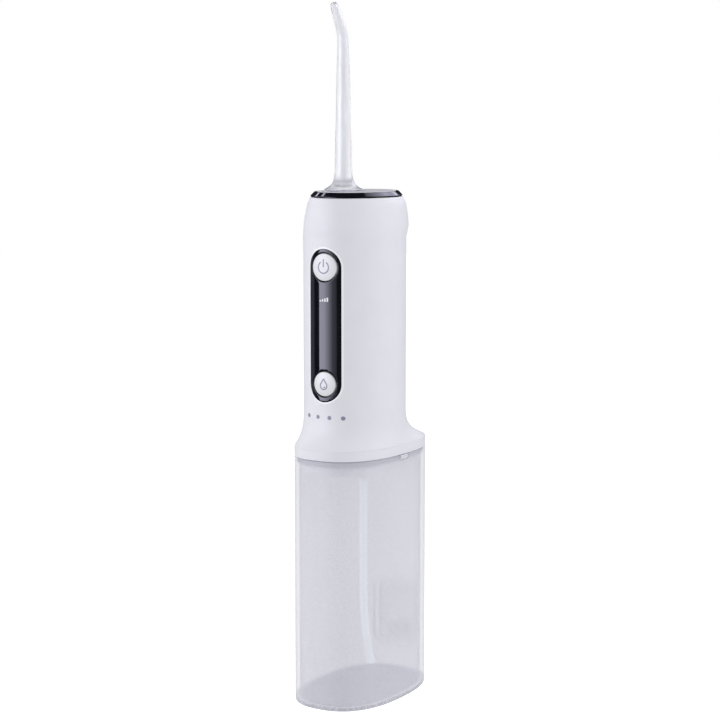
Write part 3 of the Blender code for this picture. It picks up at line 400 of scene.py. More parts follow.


# Moulded and machined surfaces: colour, roughness, and what differs from a plain plastic. The hose's
# glow is painted light that keeps it bright where it shows through the tank.
PLASTICS = {
    "white_shell": ((0.79, 0.79, 0.857), 0.5, dict(grain=5.0, relief=0.006, variation=0.012, specular=0.35)),
    "white_deck": ((0.8, 0.8, 0.87), 0.34, dict(grain=4.0, relief=0.004, variation=0.012)),
    # The bezel is lighter than the shell: a painted highlight along the panel's rounded edge.
    "bezel_white": ((0.94, 0.94, 0.98), 0.3, dict(grain=4.0, relief=0.003, variation=0.01)),
    "button_white": ((0.77, 0.77, 0.81), 0.38, dict(grain=6.0, relief=0.005, variation=0.01)),
    "grey_seal": ((0.43, 0.43, 0.49), 0.6, dict(grain=5.0)),
    # The hose's glow is painted light: the hose is no lamp.
    "hose_silicone": ((0.87, 0.92, 0.96), 0.35, dict(grain=2.0, coat=0.2, glow=0.25)),
    "clear_rubber": ((0.7, 0.7, 0.78), 0.5, dict(relief=0.02, alpha=0.3)),
    "plug_rubber": ((0.42, 0.42, 0.49), 0.5, dict(relief=0.02, alpha=0.3)),
    "catch_grey": ((0.72, 0.72, 0.78), 0.4, dict(grain=4.0, relief=0.005)),
    "steel": ((0.58, 0.58, 0.59), 0.28, dict(grain=6.0, relief=0.006, stretch=(1, 0.08, 1), metallic=1.0)),
    "brass": ((0.66, 0.5, 0.22), 0.32, dict(grain=6.0, relief=0.005, metallic=1.0)),
    "inner_plastic": ((0.55, 0.55, 0.58), 0.48, dict(grain=2.5, relief=0.02)),
    "dark_rubber": ((0.025, 0.025, 0.028), 0.6, dict(grain=4.0, relief=0.015)),
    "red_wire": ((0.45, 0.02, 0.015), 0.4, dict()),
    "print_grey": ((0.27, 0.26, 0.36), 0.5, dict(grain=6.0, relief=0.003, variation=0.05)),
    "print_white": ((0.85, 0.85, 0.9), 0.45, dict(grain=6.0, relief=0.003)),
}
LOOKS = {name: plastic(name, colour, rough, **more) for name, (colour, rough, more) in PLASTICS.items()}
LOOKS.update(gloss_black=gloss_black(), frosted_tank=frosted_tank(), milky_nozzle=milky_nozzle())
LOOKS.update(grey_base=base_plastic(), board_green=circuit_board(), cell_wrap=cell_wrap())


# Mesh building


def link(name, form):
    """The form as an object, shaded smooth up to its sharp edges."""
    bmesh.ops.recalc_face_normals(form, faces=form.faces)
    mesh = bpy.data.meshes.new(name)
    form.to_mesh(mesh)
    form.free()
    mesh.shade_smooth()
    mesh.set_sharp_from_angle(angle=math.radians(SHARP_ANGLE))
    return placed(name, mesh)


def piece(name, form, look, body, *replaced):
    """Makes the form a shown piece on a body, and hides the CAD nodes that it stands for."""
    made = link(name, form)
    made.data.materials.append(LOOKS[look])
    made.modifiers.new("flat faces stay flat", "WEIGHTED_NORMAL").keep_sharp = True
    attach(made, body)
    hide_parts(*replaced)
    return made


def combined(form, other, operation="DIFFERENCE"):
    """What a Boolean leaves of two forms."""
    target, tool = link("target", form), link("tool", other)
    step = target.modifiers.new(operation, "BOOLEAN")
    step.operation = operation
    step.solver = "EXACT"
    step.object = tool
    shape = target.evaluated_get(bpy.context.evaluated_depsgraph_get())
    left = bmesh.new()
    left.from_mesh(shape.to_mesh())
    shape.to_mesh_clear()
    for used in (target, tool):
        bpy.data.objects.remove(used)
    return left


def superellipse(half_x, half_y, centre_y=0.0, power=2.0, count=AROUND):
    """Points of a rounded outline, anticlockwise from above."""
    points = []
    for step in range(count):
        angle = 2 * math.pi * step / count
        across, along = math.cos(angle), math.sin(angle)
        x = half_x * math.copysign(abs(across) ** (2 / power), across)
        y = half_y * math.copysign(abs(along) ** (2 / power), along)
        points.append((x, y + centre_y))
    return points


def level(outline, z):
    return [(x, y, z) for x, y in outline]


def eased(points, radii, closed=False, steps=4):
    """The line through points with each corner rounded. radii is one number, or one for each corner."""
    line = [Vector(point) for point in points]
    if closed:
        corners = list(zip(line[-1:] + line[:-1], line, line[1:] + line[:1]))
    else:
        corners = list(zip(line, line[1:], line[2:]))
    if not isinstance(radii, (list, tuple)):
        radii = [radii] * len(corners)
    found = [] if closed else [line[0]]
    for (before, corner, after), radius in zip(corners, radii):
        back, on = before - corner, after - corner
        reach = min(radius, back.length * 0.45, on.length * 0.45)
        start = corner + back.normalized() * reach
        end = corner + on.normalized() * reach
        for step in range(steps + 1):
            t = step / steps
            found.append((1 - t) ** 2 * start + 2 * t * (1 - t) * corner + t**2 * end)
    if not closed:
        found.append(line[-1])
    return found


def skin(form, rings, looped=False):
    """Adds faces over rings with the same number of points, capped at both ends or closed on itself."""
    layers = [[form.verts.new(Vector(point) * MM) for point in ring] for ring in rings]
    following = layers[1:] + layers[:1] if looped else layers[1:]
    for low, high in zip(layers, following):
        for here in range(len(low)):
            there = (here + 1) % len(low)
            form.faces.new((low[here], low[there], high[there], high[here]))
    if not looped:
        form.faces.new(reversed(layers[0]))
        form.faces.new(layers[-1])


def loft(rings, looped=False):
    form = bmesh.new()
    skin(form, rings, looped)
    return form


FACING = {
    "Z": lambda x, y, h: (x, y, h),
    "X": lambda x, y, h: (h, x, y),
    "-Y": lambda x, y, h: (x, -h, y),
}


def turned(profile, centre, sides=48, looped=False, facing="Z", form=None):
    """A profile of (radius, height) points turned about an axis through centre."""
    rings = []
    for radius, height in profile:
        outline = circle(radius, 0, 0, sides)
        rings.append([Vector(FACING[facing](x, y, height)) + Vector(centre) for x, y in outline])
    form = form or bmesh.new()
    skin(form, rings, looped)
    return form


def smooth_route(points, spacing):
    """Points about a spacing apart on a Catmull-Rom curve through the given ones."""
    route = [Vector(point) for point in points]
    ends = [2 * route[0] - route[1]] + route + [2 * route[-1] - route[-2]]
    found = [route[0]]
    for before, start, end, after in zip(ends, ends[1:], ends[2:], ends[3:]):
        steps = max(1, round((end - start).length / spacing))
        for step in range(1, steps + 1):
            t = step / steps
            square = 2 * before - 5 * start + 4 * end - after
            cube = 3 * start - before - 3 * end + after
            found.append(start + ((end - before) * t + square * t**2 + cube * t**3) / 2)
    return found


def circle(radius, x, y, steps=64):
    turns = [2 * math.pi * step / steps for step in range(steps)]
    return [(x + radius * math.cos(turn), y + radius * math.sin(turn)) for turn in turns]


def stadium(half_width, low, high, steps=32):
    """An upright outline with round ends. low and high are the centres of its ends."""
    points = []
    for centre, turn in ((high, 0.0), (low, math.pi)):
        for step in range(steps + 1):
            angle = turn + math.pi * step / steps
            points.append((half_width * math.cos(angle), centre + half_width * math.sin(angle)))
    return points


def round_box(half_width, low, high, corner, steps=8):
    """A rectangle with round corners, standing up."""
    points = []
    side, top, foot = half_width - corner, high - corner, low + corner
    for quarter, (x, z) in enumerate(((side, top), (-side, top), (-side, foot), (side, foot))):
        for step in range(steps + 1):
            angle = math.pi / 2 * (quarter + step / steps)
            points.append((x + corner * math.cos(angle), z + corner * math.sin(angle)))
    return points


def arc(radius, start, end, x=0.0, y=0.0, steps=24):
    """Points of an arc whose angles are counted clockwise from the top, in degrees."""
    turns = [math.radians(start + (end - start) * step / steps) for step in range(steps + 1)]
    return [(x + radius * math.sin(turn), y + radius * math.cos(turn)) for turn in turns]


def prism(outline, near, far):
    """An outline in X and Z, carried from one Y to another."""
    return loft([[(x, y, z) for x, z in outline] for y in (near, far)])


def cylinder(radius, start, end, sides=48):
    start, end = Vector(start), Vector(end)
    turn = (end - start).to_track_quat("Z", "Y")
    outline = [turn @ Vector((x, y, 0)) for x, y in circle(radius, 0, 0, sides)]
    return loft([[spot + point for point in outline] for spot in (start, end)])


def block(low, high, edge=0.15):
    """A box with rounded upright edges."""
    (left, near, bottom), (right, far, top) = low, high
    corners = ((left, near), (right, near), (right, far), (left, far))
    near_in, far_in = near + edge, far - edge
    inner = ((left + edge, near_in), (right - edge, near_in), (right - edge, far_in), (left + edge, far_in))
    cap, wall = eased(inner, edge, closed=True), eased(corners, edge * 2, closed=True)
    return loft([level(cap, bottom), level(wall, bottom + edge), level(wall, top - edge), level(cap, top)])


def sunk(distance, radius):
    """How far a rounded edge has dropped at a distance inside it."""
    if distance >= radius:
        return 0.0
    return radius - math.sqrt(max(0.0, radius**2 - (radius - distance) ** 2))


def sheet(loops, distance, lift, drop, edge, spacing):
    """A curved sheet with rounded edges and holes.

    Each of loops gives an outline at a distance inside its edge, and distance tells how far inside all
    edges a point is. lift sets a point of the front in space, and drop one of the back.
    """
    insets = (0.0, edge * 0.08, edge * 0.3, edge * 0.6, edge)
    outlines = [loop(inset) for loop in loops for inset in insets]
    points = [Vector(point) for outline in outlines for point in outline]
    seams = []
    first = 0
    for outline in outlines:
        seams += [(first + here, first + (here + 1) % len(outline)) for here in range(len(outline))]
        first += len(outline)
    left, right = min(p.x for p in points), max(p.x for p in points)
    low, high = min(p.y for p in points), max(p.y for p in points)
    columns, rows = int((right - left) / spacing), int((high - low) / spacing)
    for column in range(1, columns):
        for row in range(1, rows):
            spot = Vector((left + (right - left) * column / columns, low + (high - low) * row / rows))
            if distance(*spot) > edge + spacing / 3:
                points.append(spot)
    flat, _, faces, *_ = geometry.delaunay_2d_cdt(points, seams, [], 0, 1e-5)
    form = bmesh.new()
    front = [form.verts.new(Vector(lift(u, v, sunk(max(0.0, distance(u, v)), edge))) * MM) for u, v in flat]
    for face in faces:
        middle = sum((flat[corner] for corner in face), Vector((0, 0))) / len(face)
        if distance(*middle) > 0:
            form.faces.new([front[corner] for corner in face])
    form.verts.index_update()
    rims = [seam.verts[:] for seam in form.edges if len(seam.link_faces) == 1]
    back = {}
    for rim in rims:
        for vert in rim:
            if vert not in back:
                back[vert] = form.verts.new(Vector(drop(*flat[vert.index])) * MM)
        form.faces.new((rim[0], rim[1], back[rim[1]], back[rim[0]]))
    for vert in [vert for vert in form.verts if not vert.link_faces]:
        form.verts.remove(vert)
    return form


def ribbon(path, width, lift, closed=False):
    """A printed line along a path, on the surface that lift gives. width is one, or one for each point."""
    path = [Vector(point) for point in path]
    widths = width if isinstance(width, tuple) else (width,) * len(path)
    form = bmesh.new()
    rows = []
    for here, point in enumerate(path):
        before = path[here - 1] if here or closed else point
        after = path[(here + 1) % len(path)] if here + 1 < len(path) or closed else point
        along = (after - before).normalized()
        side = Vector((-along.y, along.x)) * widths[here] / 2
        section = ((point + side, -0.1), (point + side, PROUD), (point - side, PROUD), (point - side, -0.1))
        rows.append([form.verts.new(Vector(lift(*spot, proud)) * MM) for spot, proud in section])
    following = rows[1:] + rows[:1] if closed else rows[1:]
    for low, high in zip(rows, following):
        for a, b in ((0, 1), (1, 2), (2, 3)):
            form.faces.new((low[a], low[b], high[b], high[a]))
    if not closed:
        form.faces.new(rows[0])
        form.faces.new(rows[-1])
    return form


# The body's outlines


def tank_outline(inset=0.0):
    return superellipse(TANK_HALF_X - inset, TANK_HALF_Y - inset, 0.0, TANK_POWER)


def tank_band(outside, inside, low, high):
    """A closed band between two insets of the tank's outline."""
    corners = ((outside, low), (outside, high), (inside, high), (inside, low))
    return loft([level(tank_outline(inset), z) for inset, z in corners], looped=True)


def on_tank(x, z, depth):
    """A point of the tank's rear wall, or under its surface."""
    reach = (1 - min(1.0, abs(x / TANK_HALF_X)) ** TANK_POWER) ** (1 / TANK_POWER)
    return (x, TANK_HALF_Y * reach - depth, z)


def grip_values(z):
    """Half width, half depth, centre and power of the handle's outside at a height."""
    sections = GRIP_SECTIONS
    if z <= sections[0][0]:
        share = max(0.0, 1 - max(0.0, z - FLANGE_HIGH) / FLARE_RISE) ** FLARE_POWER
        narrow = (*sections[0][1:], GRIP_POWER)
        wide = (TANK_HALF_X, TANK_HALF_Y, 0.0, TANK_POWER)
        return tuple(n + (w - n) * share for n, w in zip(narrow, wide))
    here = max(index for index, section in enumerate(sections[:-1]) if z > section[0])
    below, above = sections[here], sections[here + 1]
    before = sections[max(0, here - 1)]
    after = sections[min(len(sections) - 1, here + 2)]
    span = above[0] - below[0]
    t = min(1.0, (z - below[0]) / span)
    values = []
    for b, low, high, a in zip(before[1:], below[1:], above[1:], after[1:]):
        leaving = (high - b) / (above[0] - before[0]) * span if here else 0.0
        arriving = (a - low) / (after[0] - below[0]) * span if here else 0.0
        straight = (3 * t**2 - 2 * t**3) * (high - low) + low
        values.append(straight + (t**3 - 2 * t**2 + t) * leaving + (t**3 - t**2) * arriving)
    return (*values, GRIP_POWER)


def grip_ring(z, inset=0.0, at=None):
    half_x, half_y, centre, power = grip_values(z)
    return level(superellipse(half_x - inset, half_y - inset, centre, power), z if at is None else at)


def on_grip(x, z, depth, side=-1):
    """A point of the handle's surface, or under it, at the front (side -1) or the rear (side 1)."""
    half_x, half_y, centre, power = grip_values(z)
    reach = (1 - min(1.0, abs(x / half_x)) ** power) ** (1 / power)
    return (x, centre + side * (half_y * reach - depth), z)


def over_grip(x, z, proud):
    return on_grip(x, z, -proud)


def ring_outline(inset=0.0):
    return superellipse(RING_HALF_X - inset, RING_HALF_Y - inset, RING_CENTRE_Y)


def box_distance(half_width, low, high, corner):
    """How far inside a rectangle with round corners a point of X and Z is."""

    def inside(x, z):
        out_x = abs(x) - (half_width - corner)
        out_z = abs(z - (low + high) / 2) - ((high - low) / 2 - corner)
        return corner - math.hypot(max(out_x, 0), max(out_z, 0)) - min(max(out_x, out_z), 0)

    return inside


def rear_sheet(half_width, low, high, corner, surface, edge, thick):
    """A sheet with round corners in the rear wall that surface gives."""

    def loop(inset):
        return round_box(half_width - inset, low + inset, high - inset, max(0.3, corner - inset))

    inside = box_distance(half_width, low, high, corner)
    return sheet([loop], inside, surface, lambda x, z: surface(x, z, thick), edge, 0.9)


# Tank


def make_tank():
    corners = [(5.0, 0.0), (0.0, 0.0), (0.0, TANK_TOP), (TANK_LIP, TANK_TOP), (TANK_LIP, TANK_STEP)]
    corners += [(TANK_WALL, TANK_STEP), (TANK_WALL, TANK_FLOOR), (6.0, TANK_FLOOR)]
    profile = eased(corners, [TANK_EDGE, 0.3, 0.25, 0.1, 0.3, 1.4], steps=6)
    form = loft([level(tank_outline(inset), z) for inset, z in profile])
    # Thicker wall round the filler cap, the cap's recess, and the port that its plug closes
    low, high = CAP_LOW - CAP_MARGIN, CAP_HIGH + CAP_MARGIN
    pad_outline = round_box(CAP_HALF + CAP_MARGIN, low, high, CAP_CORNER + CAP_MARGIN)
    pad = prism(pad_outline, REAR_INSIDE, TANK_HALF_Y)
    pad = combined(pad, tank_band(TANK_WALL - 0.6, TANK_WALL + 1.3, *CAP_REACH), "INTERSECT")
    form = combined(form, pad, "UNION")
    recess_outline = round_box(CAP_HALF + GAP, CAP_LOW - GAP, CAP_HIGH + GAP, CAP_CORNER)
    recess = prism(recess_outline, REAR_INSIDE, TANK_HALF_Y + 2)
    form = combined(form, combined(recess, tank_band(-1.0, CAP_RECESS, *CAP_REACH), "INTERSECT"))
    form = combined(form, cylinder(PORT_RADIUS, (0, 27, PORT_Z), (0, 36, PORT_Z)))
    for side in (-1, 1):
        near, far = sorted((side * (CATCH_IN - 0.15), side * (CATCH_OUT + 0.7)))
        low, high = (near, -CATCH_HALF - GAP, TANK_STEP + 0.05), (far, CATCH_HALF + GAP, TANK_TOP + 1)
        form = combined(form, block(low, high, 0.1))
    body = piece("tank_body", form, "frosted_tank", "tank", "water_tank")
    # The frosted wall lets the studio light in.
    body.visible_shadow = body.visible_diffuse = False


def make_filler_cap():
    def surface(x, z, depth):
        return on_tank(x, z, depth + 0.05)

    form = rear_sheet(CAP_HALF, CAP_LOW, CAP_HIGH, CAP_CORNER, surface, 0.35, 0.85)
    wide = PORT_RADIUS - 0.6
    plug = eased([(0.5, PLUG_BACK), (wide, PLUG_BACK), (wide, PLUG_FRONT)], 0.4)
    rings = [[(x, y, PORT_Z + z) for x, z in circle(radius, 0, 0, 48)] for radius, y in plug]
    piece("port_plug", loft(rings), "plug_rubber", "filler_cap")
    for z in CAP_RIDGES:
        ridge = [[(x, on_tank(x, z, depth)[1], z + up) for x in span(-4.5, 4.5, 13)] for depth, up in RIDGE]
        add_strip(form, ridge)
    piece("filler_flap", form, "clear_rubber", "filler_cap", "filler_cap")


def span(low, high, count):
    return [low + (high - low) * step / (count - 1) for step in range(count)]


def add_strip(form, rows):
    """Faces between rows of points, closed at the ends of the rows."""
    layers = [[form.verts.new(Vector(point) * MM) for point in row] for row in rows]
    for low, high in zip(layers, layers[1:]):
        for here in range(len(low) - 1):
            form.faces.new((low[here], low[here + 1], high[here + 1], high[here]))
    for end in (0, -1):
        form.faces.new([layer[end] for layer in layers])


# Handle


def make_shell():
    flare = [FLANGE_HIGH + FLARE_RISE * (step / 26) ** 1.5 for step in range(1, 27)]
    grip = span(GRIP_SECTIONS[0][0] + 3, GRIP_SECTIONS[1][0], 18)
    shoulder = span(GRIP_SECTIONS[1][0] + 0.8, GRIP_SECTIONS[-1][0] - 0.3, 20)
    top = GRIP_SECTIONS[-1][0]
    outer = [
        grip_ring(FLANGE_LOW, 0.2),
        grip_ring(FLANGE_LOW, 0.06, at=FLANGE_LOW + 0.06),
        grip_ring(FLANGE_LOW, at=FLANGE_LOW + 0.2),
        grip_ring(FLANGE_LOW, at=FLANGE_HIGH - FLANGE_EDGE),
        grip_ring(FLANGE_LOW, 0.12, at=FLANGE_HIGH - 0.12),
        grip_ring(FLANGE_LOW, FLANGE_EDGE, at=FLANGE_HIGH),
    ]
    outer += [grip_ring(z) for z in flare + grip + shoulder]
    outer += [grip_ring(top, 0.06, at=top - 0.1), grip_ring(top, 0.25, at=top)]
    heights = [section[0] for section in GRIP_SECTIONS]
    inner = [grip_ring(z, SHELL_WALL) for z in reversed(heights)]
    inner += [grip_ring(z, SHELL_WALL, at=z - SHELL_WALL) for z in reversed(flare[::3])]
    inner += [
        grip_ring(FLANGE_LOW, SHELL_WALL + FLANGE_EDGE, at=FLANGE_HIGH - SHELL_WALL),
        grip_ring(FLANGE_LOW, SHELL_WALL),
    ]
    form = loft(outer + inner, looped=True)
    openings = (
        prism(stadium(PANEL_HALF + GAP, MODE_Z, POWER_Z), -32, -20),
        prism(round_box(RELEASE_HALF + GAP, RELEASE_LOW - GAP, RELEASE_HIGH + GAP, RELEASE_CORNER), 15, 24),
        prism(round_box(COVER_HALF + GAP, COVER_LOW - GAP, COVER_HIGH + GAP, COVER_CORNER), 14, 24),
    )
    for opening in openings:
        form = combined(form, opening)
    piece("shell_skin", form, "white_shell", "handle", "handle_shell")

    # Round the bezel's section: distance outside the panel's edge, and height over the shell
    section = ((0.06, -1.0), (0.06, -0.05), (-0.12, 0.02), (-0.12, 0.07), (0.0, 0.11))
    section += ((0.25, 0.13), (0.5, 0.09), (0.62, -0.03), (0.28, -0.1), (0.28, -1.0))
    rings = [
        [over_grip(x, z, proud) for x, z in stadium(PANEL_HALF + out, MODE_Z, POWER_Z, 40)]
        for out, proud in section
    ]
    # The bezel's lighter white is a painted highlight along the panel's edge.
    piece("panel_bezel", loft(rings, looped=True), "bezel_white", "handle")


def make_top():
    ledge, skirt, foot = SHELL_WALL + 1.4, SHELL_WALL + 0.5, RING_LOW - 3.2
    corners = [(0.0, RING_LOW), (0.0, RING_LOW + 0.3), (RING_CHAMFER, RING_HIGH), (RING_INNER, RING_HIGH)]
    corners += [(RING_INNER, RING_HIGH - 1.1), (ledge, RING_HIGH - 1.1), (ledge, foot), (skirt, foot)]
    corners.append((skirt, RING_LOW))
    profile = eased(corners, [0.1, 0.25, 0.2, 0.15, 0.1, 0.1, 0.2, 0.2, 0.1], closed=True)
    rings = [level(ring_outline(inset), z) for inset, z in profile]
    piece("trim_ring", loft(rings, looped=True), "gloss_black", "handle", "top_ring")

    inset = RING_INNER + GAP
    half_x, half_y = RING_HALF_X - inset, RING_HALF_Y - inset

    def share(x, y):
        return math.hypot(x / half_x, (y - RING_CENTRE_Y) / half_y)

    def distance(x, y):
        far = max(share(x, y), 0.05)
        slope = math.hypot(x / half_x**2, (y - RING_CENTRE_Y) / half_y**2) / far
        return min((1 - far) / max(slope, 0.02), math.hypot(x, y - NOZZLE_Y) - SEAT_RADIUS - GAP)

    def lift(x, y, depth):
        return (x, y, DECK_HIGH + DECK_DOME * max(0.0, 1 - share(x, y) ** 2) - depth)

    loops = [lambda more: ring_outline(inset + more)]
    loops.append(lambda more: circle(SEAT_RADIUS + GAP + more, 0, NOZZLE_Y))
    form = sheet(loops, distance, lift, lambda x, y: (x, y, RING_HIGH - 0.8), 0.25, 1.4)
    piece("deck_skin", form, "white_deck", "handle", "top_deck")


def make_panel():
    holes = ((POWER_Z, POWER_RADIUS + GAP), (MODE_Z, MODE_RADIUS + GAP))

    def distance(x, z):
        edge = PANEL_HALF - math.hypot(x, z - min(max(z, MODE_Z), POWER_Z))
        return min([edge] + [math.hypot(x, z - centre) - radius for centre, radius in holes])

    loops = [lambda inset: stadium(PANEL_HALF - inset, MODE_Z, POWER_Z)]
    loops += [lambda inset, z=z, radius=radius: circle(radius + inset, 0, z, 72) for z, radius in holes]
    form = sheet(loops, distance, on_grip, lambda x, z: on_grip(x, z, PANEL_THICK), 0.3, 0.8)
    piece("panel_glass", form, "gloss_black", "handle", "front_panel")

    for x, tall in LEVEL_BARS:
        form = ribbon([(x, LEVEL_Z - 0.8), (x, LEVEL_Z - 0.8 + tall)], 0.65, over_grip)
        piece(f"level_bar_{tall * 100:.0f}", form, "print_white", "handle")
    for here, x in enumerate(DOTS_X):
        form = ribbon(circle(DOT_RADIUS, x, DOTS_Z, 16), 2 * DOT_RADIUS, over_grip, closed=True)
        piece(f"mark_{here + 1}", form, "print_grey", "handle")


def crown(distance, radius):
    """How far forward a button's face is at a distance from its middle."""
    return BUTTON_FRONT - 0.42 * min(1.0, distance / radius) ** 2.6


def bend(x, z):
    """How far back the panel's curve takes a button's face beside its middle."""
    return BUTTON_BEND * (on_grip(x, z, 0)[1] - on_grip(0, z, 0)[1])


def make_button(name, z, radius, strokes):
    face = [(radius * share, crown(radius * share, radius)) for share in span(0.02, 0.87, 15)]
    shoulder = (radius * 0.95, crown(radius * 0.95, radius))
    rim = eased([shoulder, (radius, BUTTON_FRONT - 0.75), (radius, BUTTON_BACK)], 0.4)
    stem = [(1.6, BUTTON_BACK), (1.6, BUTTON_BACK - 1.0), (0.1, BUTTON_BACK - 1.0)]
    form = turned([*face, *rim, *stem], (0, 0, z), 96, facing="-Y")
    for vert in form.verts:
        forward = (-vert.co.y / MM - BUTTON_BACK) / (BUTTON_FRONT - 0.75 - BUTTON_BACK)
        vert.co.y += bend(vert.co.x / MM, z) * MM * min(1.0, max(0.0, forward))
    piece(f"{name}_cap", form, "button_white", f"{name}_button", f"{name}_button")

    def lift(x, up, proud):
        return (x, bend(x, z) - crown(math.hypot(x, up), radius) - proud, z + up)

    for here, (path, width) in enumerate(strokes):
        piece(f"{name}_icon_{here + 1}", ribbon(path, width, lift), "print_grey", f"{name}_button")


def make_buttons():
    power = ((arc(2.35, 32, 328), 0.5), ([(0.0, 3.2), (0.0, 2.0), (0.0, 0.9), (0.0, 0.1)], 0.52))
    make_button("power", POWER_Z, POWER_RADIUS, power)
    # The mode button bears a plain drop of water.
    drop = [(0.0, 2.2), (0.62, 1.2), *arc(1.5, 60, 300, 0.0, -0.6), (-0.62, 1.2), (0.0, 2.2)]
    mode = ((drop, 0.5), (arc(0.75, 110, 190, 0.0, -0.6), 0.4))
    make_button("mode", MODE_Z, MODE_RADIUS, mode)


# Handle base, over and in the tank's mouth


def make_base():
    wall, roof = SHELL_WALL + GAP, FLANGE_LOW + 1.6
    corners = [(9.0, BASE_INSIDE), (4.4, BASE_INSIDE), (4.4, BASE_LOW), (2.9, BASE_LOW), (2.9, FLANGE_LOW)]
    corners += [(wall, FLANGE_LOW), (wall, roof), (9.0, roof)]
    profile = eased(corners, [0.5, 0.4, 0.4, 0.1, 0.1, 0.2])
    form = loft([level(tank_outline(inset), z) for inset, z in profile])
    x, y, top = HOSE_ROUTE[0]
    root, head = BASE_LOW + 0.4, BASE_INSIDE + 0.2
    spigot = [(0.8, top + GAP), (1.3, top + GAP), (1.6, top + 1.2), (1.6, root)]
    spigot = eased([*spigot, (3.4, root), (3.4, head), (0.8, head)], 0.25, closed=True)
    turned(spigot, (x, y, 0), 48, looped=True, form=form)
    piece("base_tray", form, "grey_base", "handle", "handle_base")

    low = TANK_STEP + 0.2
    seal = eased([(1.2, low), (1.2, TANK_TOP), (2.6, TANK_TOP), (2.6, low)], 0.35, closed=True)
    form = loft([level(tank_outline(inset), z) for inset, z in seal], looped=True)
    for side, word in ((-1, "left"), (1, "right")):
        # A notch in the seal holds each catch.
        near, far = sorted((side * (CATCH_IN - 0.2), side * (TANK_HALF_X + 1)))
        form = combined(form, block((near, -3.0, 98.0), (far, 3.0, 103.0), 0.05))
        near, far = sorted((side * CATCH_IN, side * CATCH_OUT))
        catch = block((near, -CATCH_HALF, TANK_STEP + 0.5), (far, CATCH_HALF, TANK_TOP), 0.25)
        piece(f"catch_{word}", catch, "catch_grey", "handle", f"tank_catch_{word}")
    piece("base_seal", form, "grey_seal", "handle", "tank_seal")

    x, y = SCREW_X, SCREW_Y
    head = BASE_INSIDE - GAP
    for here, (sx, sy) in enumerate(((x, y), (-x, y), (-x, -y), (x, -y))):
        profile = [(0.1, head + 4.5), (0.5, head + 4.5), (0.9, head + 3.7), (0.9, head)]
        profile += eased([(1.9, head), (1.9, head - 0.6), (1.3, head - 1.1), (0.1, head - 1.1)], 0.2)
        form = turned(profile, (sx, sy, 0), 32)
        for wide, deep in ((1.1, 0.22), (0.22, 1.1)):
            low = (sx - wide, sy - deep, head - 1.5)
            form = combined(form, block(low, (sx + wide, sy + deep, head - 0.5), 0.05))
        piece(f"cross_screw_{here + 1}", form, "steel", "handle", f"base_screw_{here + 1}")


def make_hose():
    route = smooth_route(HOSE_ROUTE, 1.5)
    curve = bpy.data.curves.new("hose", "CURVE")
    curve.dimensions = "3D"
    curve.bevel_depth = HOSE_RADIUS * MM
    curve.bevel_resolution = 6
    curve.use_fill_caps = True
    spline = curve.splines.new("POLY")
    spline.points.add(len(route) - 1)
    for control, point in zip(spline.points, route):
        control.co = (*(point * MM), 1)
    spline.use_smooth = True
    curve.materials.append(LOOKS["hose_silicone"])
    hose = placed("hose", curve)
    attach(hose, "handle")
    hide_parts("suction_hose")

    along = (route[-1] - route[-2]).normalized()
    start = route[-1] + along * (GAP + 0.05)
    turn = along.to_track_quat("Z", "Y")
    wide, bore, long = HOSE_END_RADIUS, 0.7, HOSE_END_LENGTH
    profile = [(bore, 0.0), (wide, 0.0), (wide, long - 1.6), (wide * 0.82, long - 1.4), (wide, long - 1.2)]
    profile = eased([*profile, (wide, long), (bore, long)], 0.2, closed=True)
    rings = []
    for radius, height in profile:
        rings.append([start + turn @ Vector((x, y, height)) for x, y in circle(radius, 0, 0, 32)])
    tip = piece("strainer", loft(rings, looped=True), "clear_rubber", "handle", "hose_end")


# Nozzle


def bent_rings(stations, sides=64):
    """Circles across the nozzle's centre line, which lies in the plane X = 0."""
    path = [Vector((-forward, z)) for forward, z, _ in stations]
    rings = []
    for here, (point, (_, _, radius)) in enumerate(zip(path, stations)):
        along = path[min(here + 1, len(path) - 1)] - path[max(here - 1, 0)]
        if along.y < 0:
            along = -along
        along = along.normalized() if along.length else Vector((0, 1))
        outline = circle(radius, 0, 0, sides)
        middle = NOZZLE_Y + point.x
        rings.append([(x, middle + back * along.y, point.y - back * along.x) for x, back in outline])
    return rings


def bore_radius(z):
    """The bore is even up to the bend, and narrows through it to the jet."""
    tip = NOZZLE_STATIONS[-1][1]
    narrowing = min(1.0, max(0.0, (z - BORE_TAPER_LOW) / (tip - BORE_TAPER_LOW)))
    return NOZZLE_BORE + (JET_BORE - NOZZLE_BORE) * narrowing


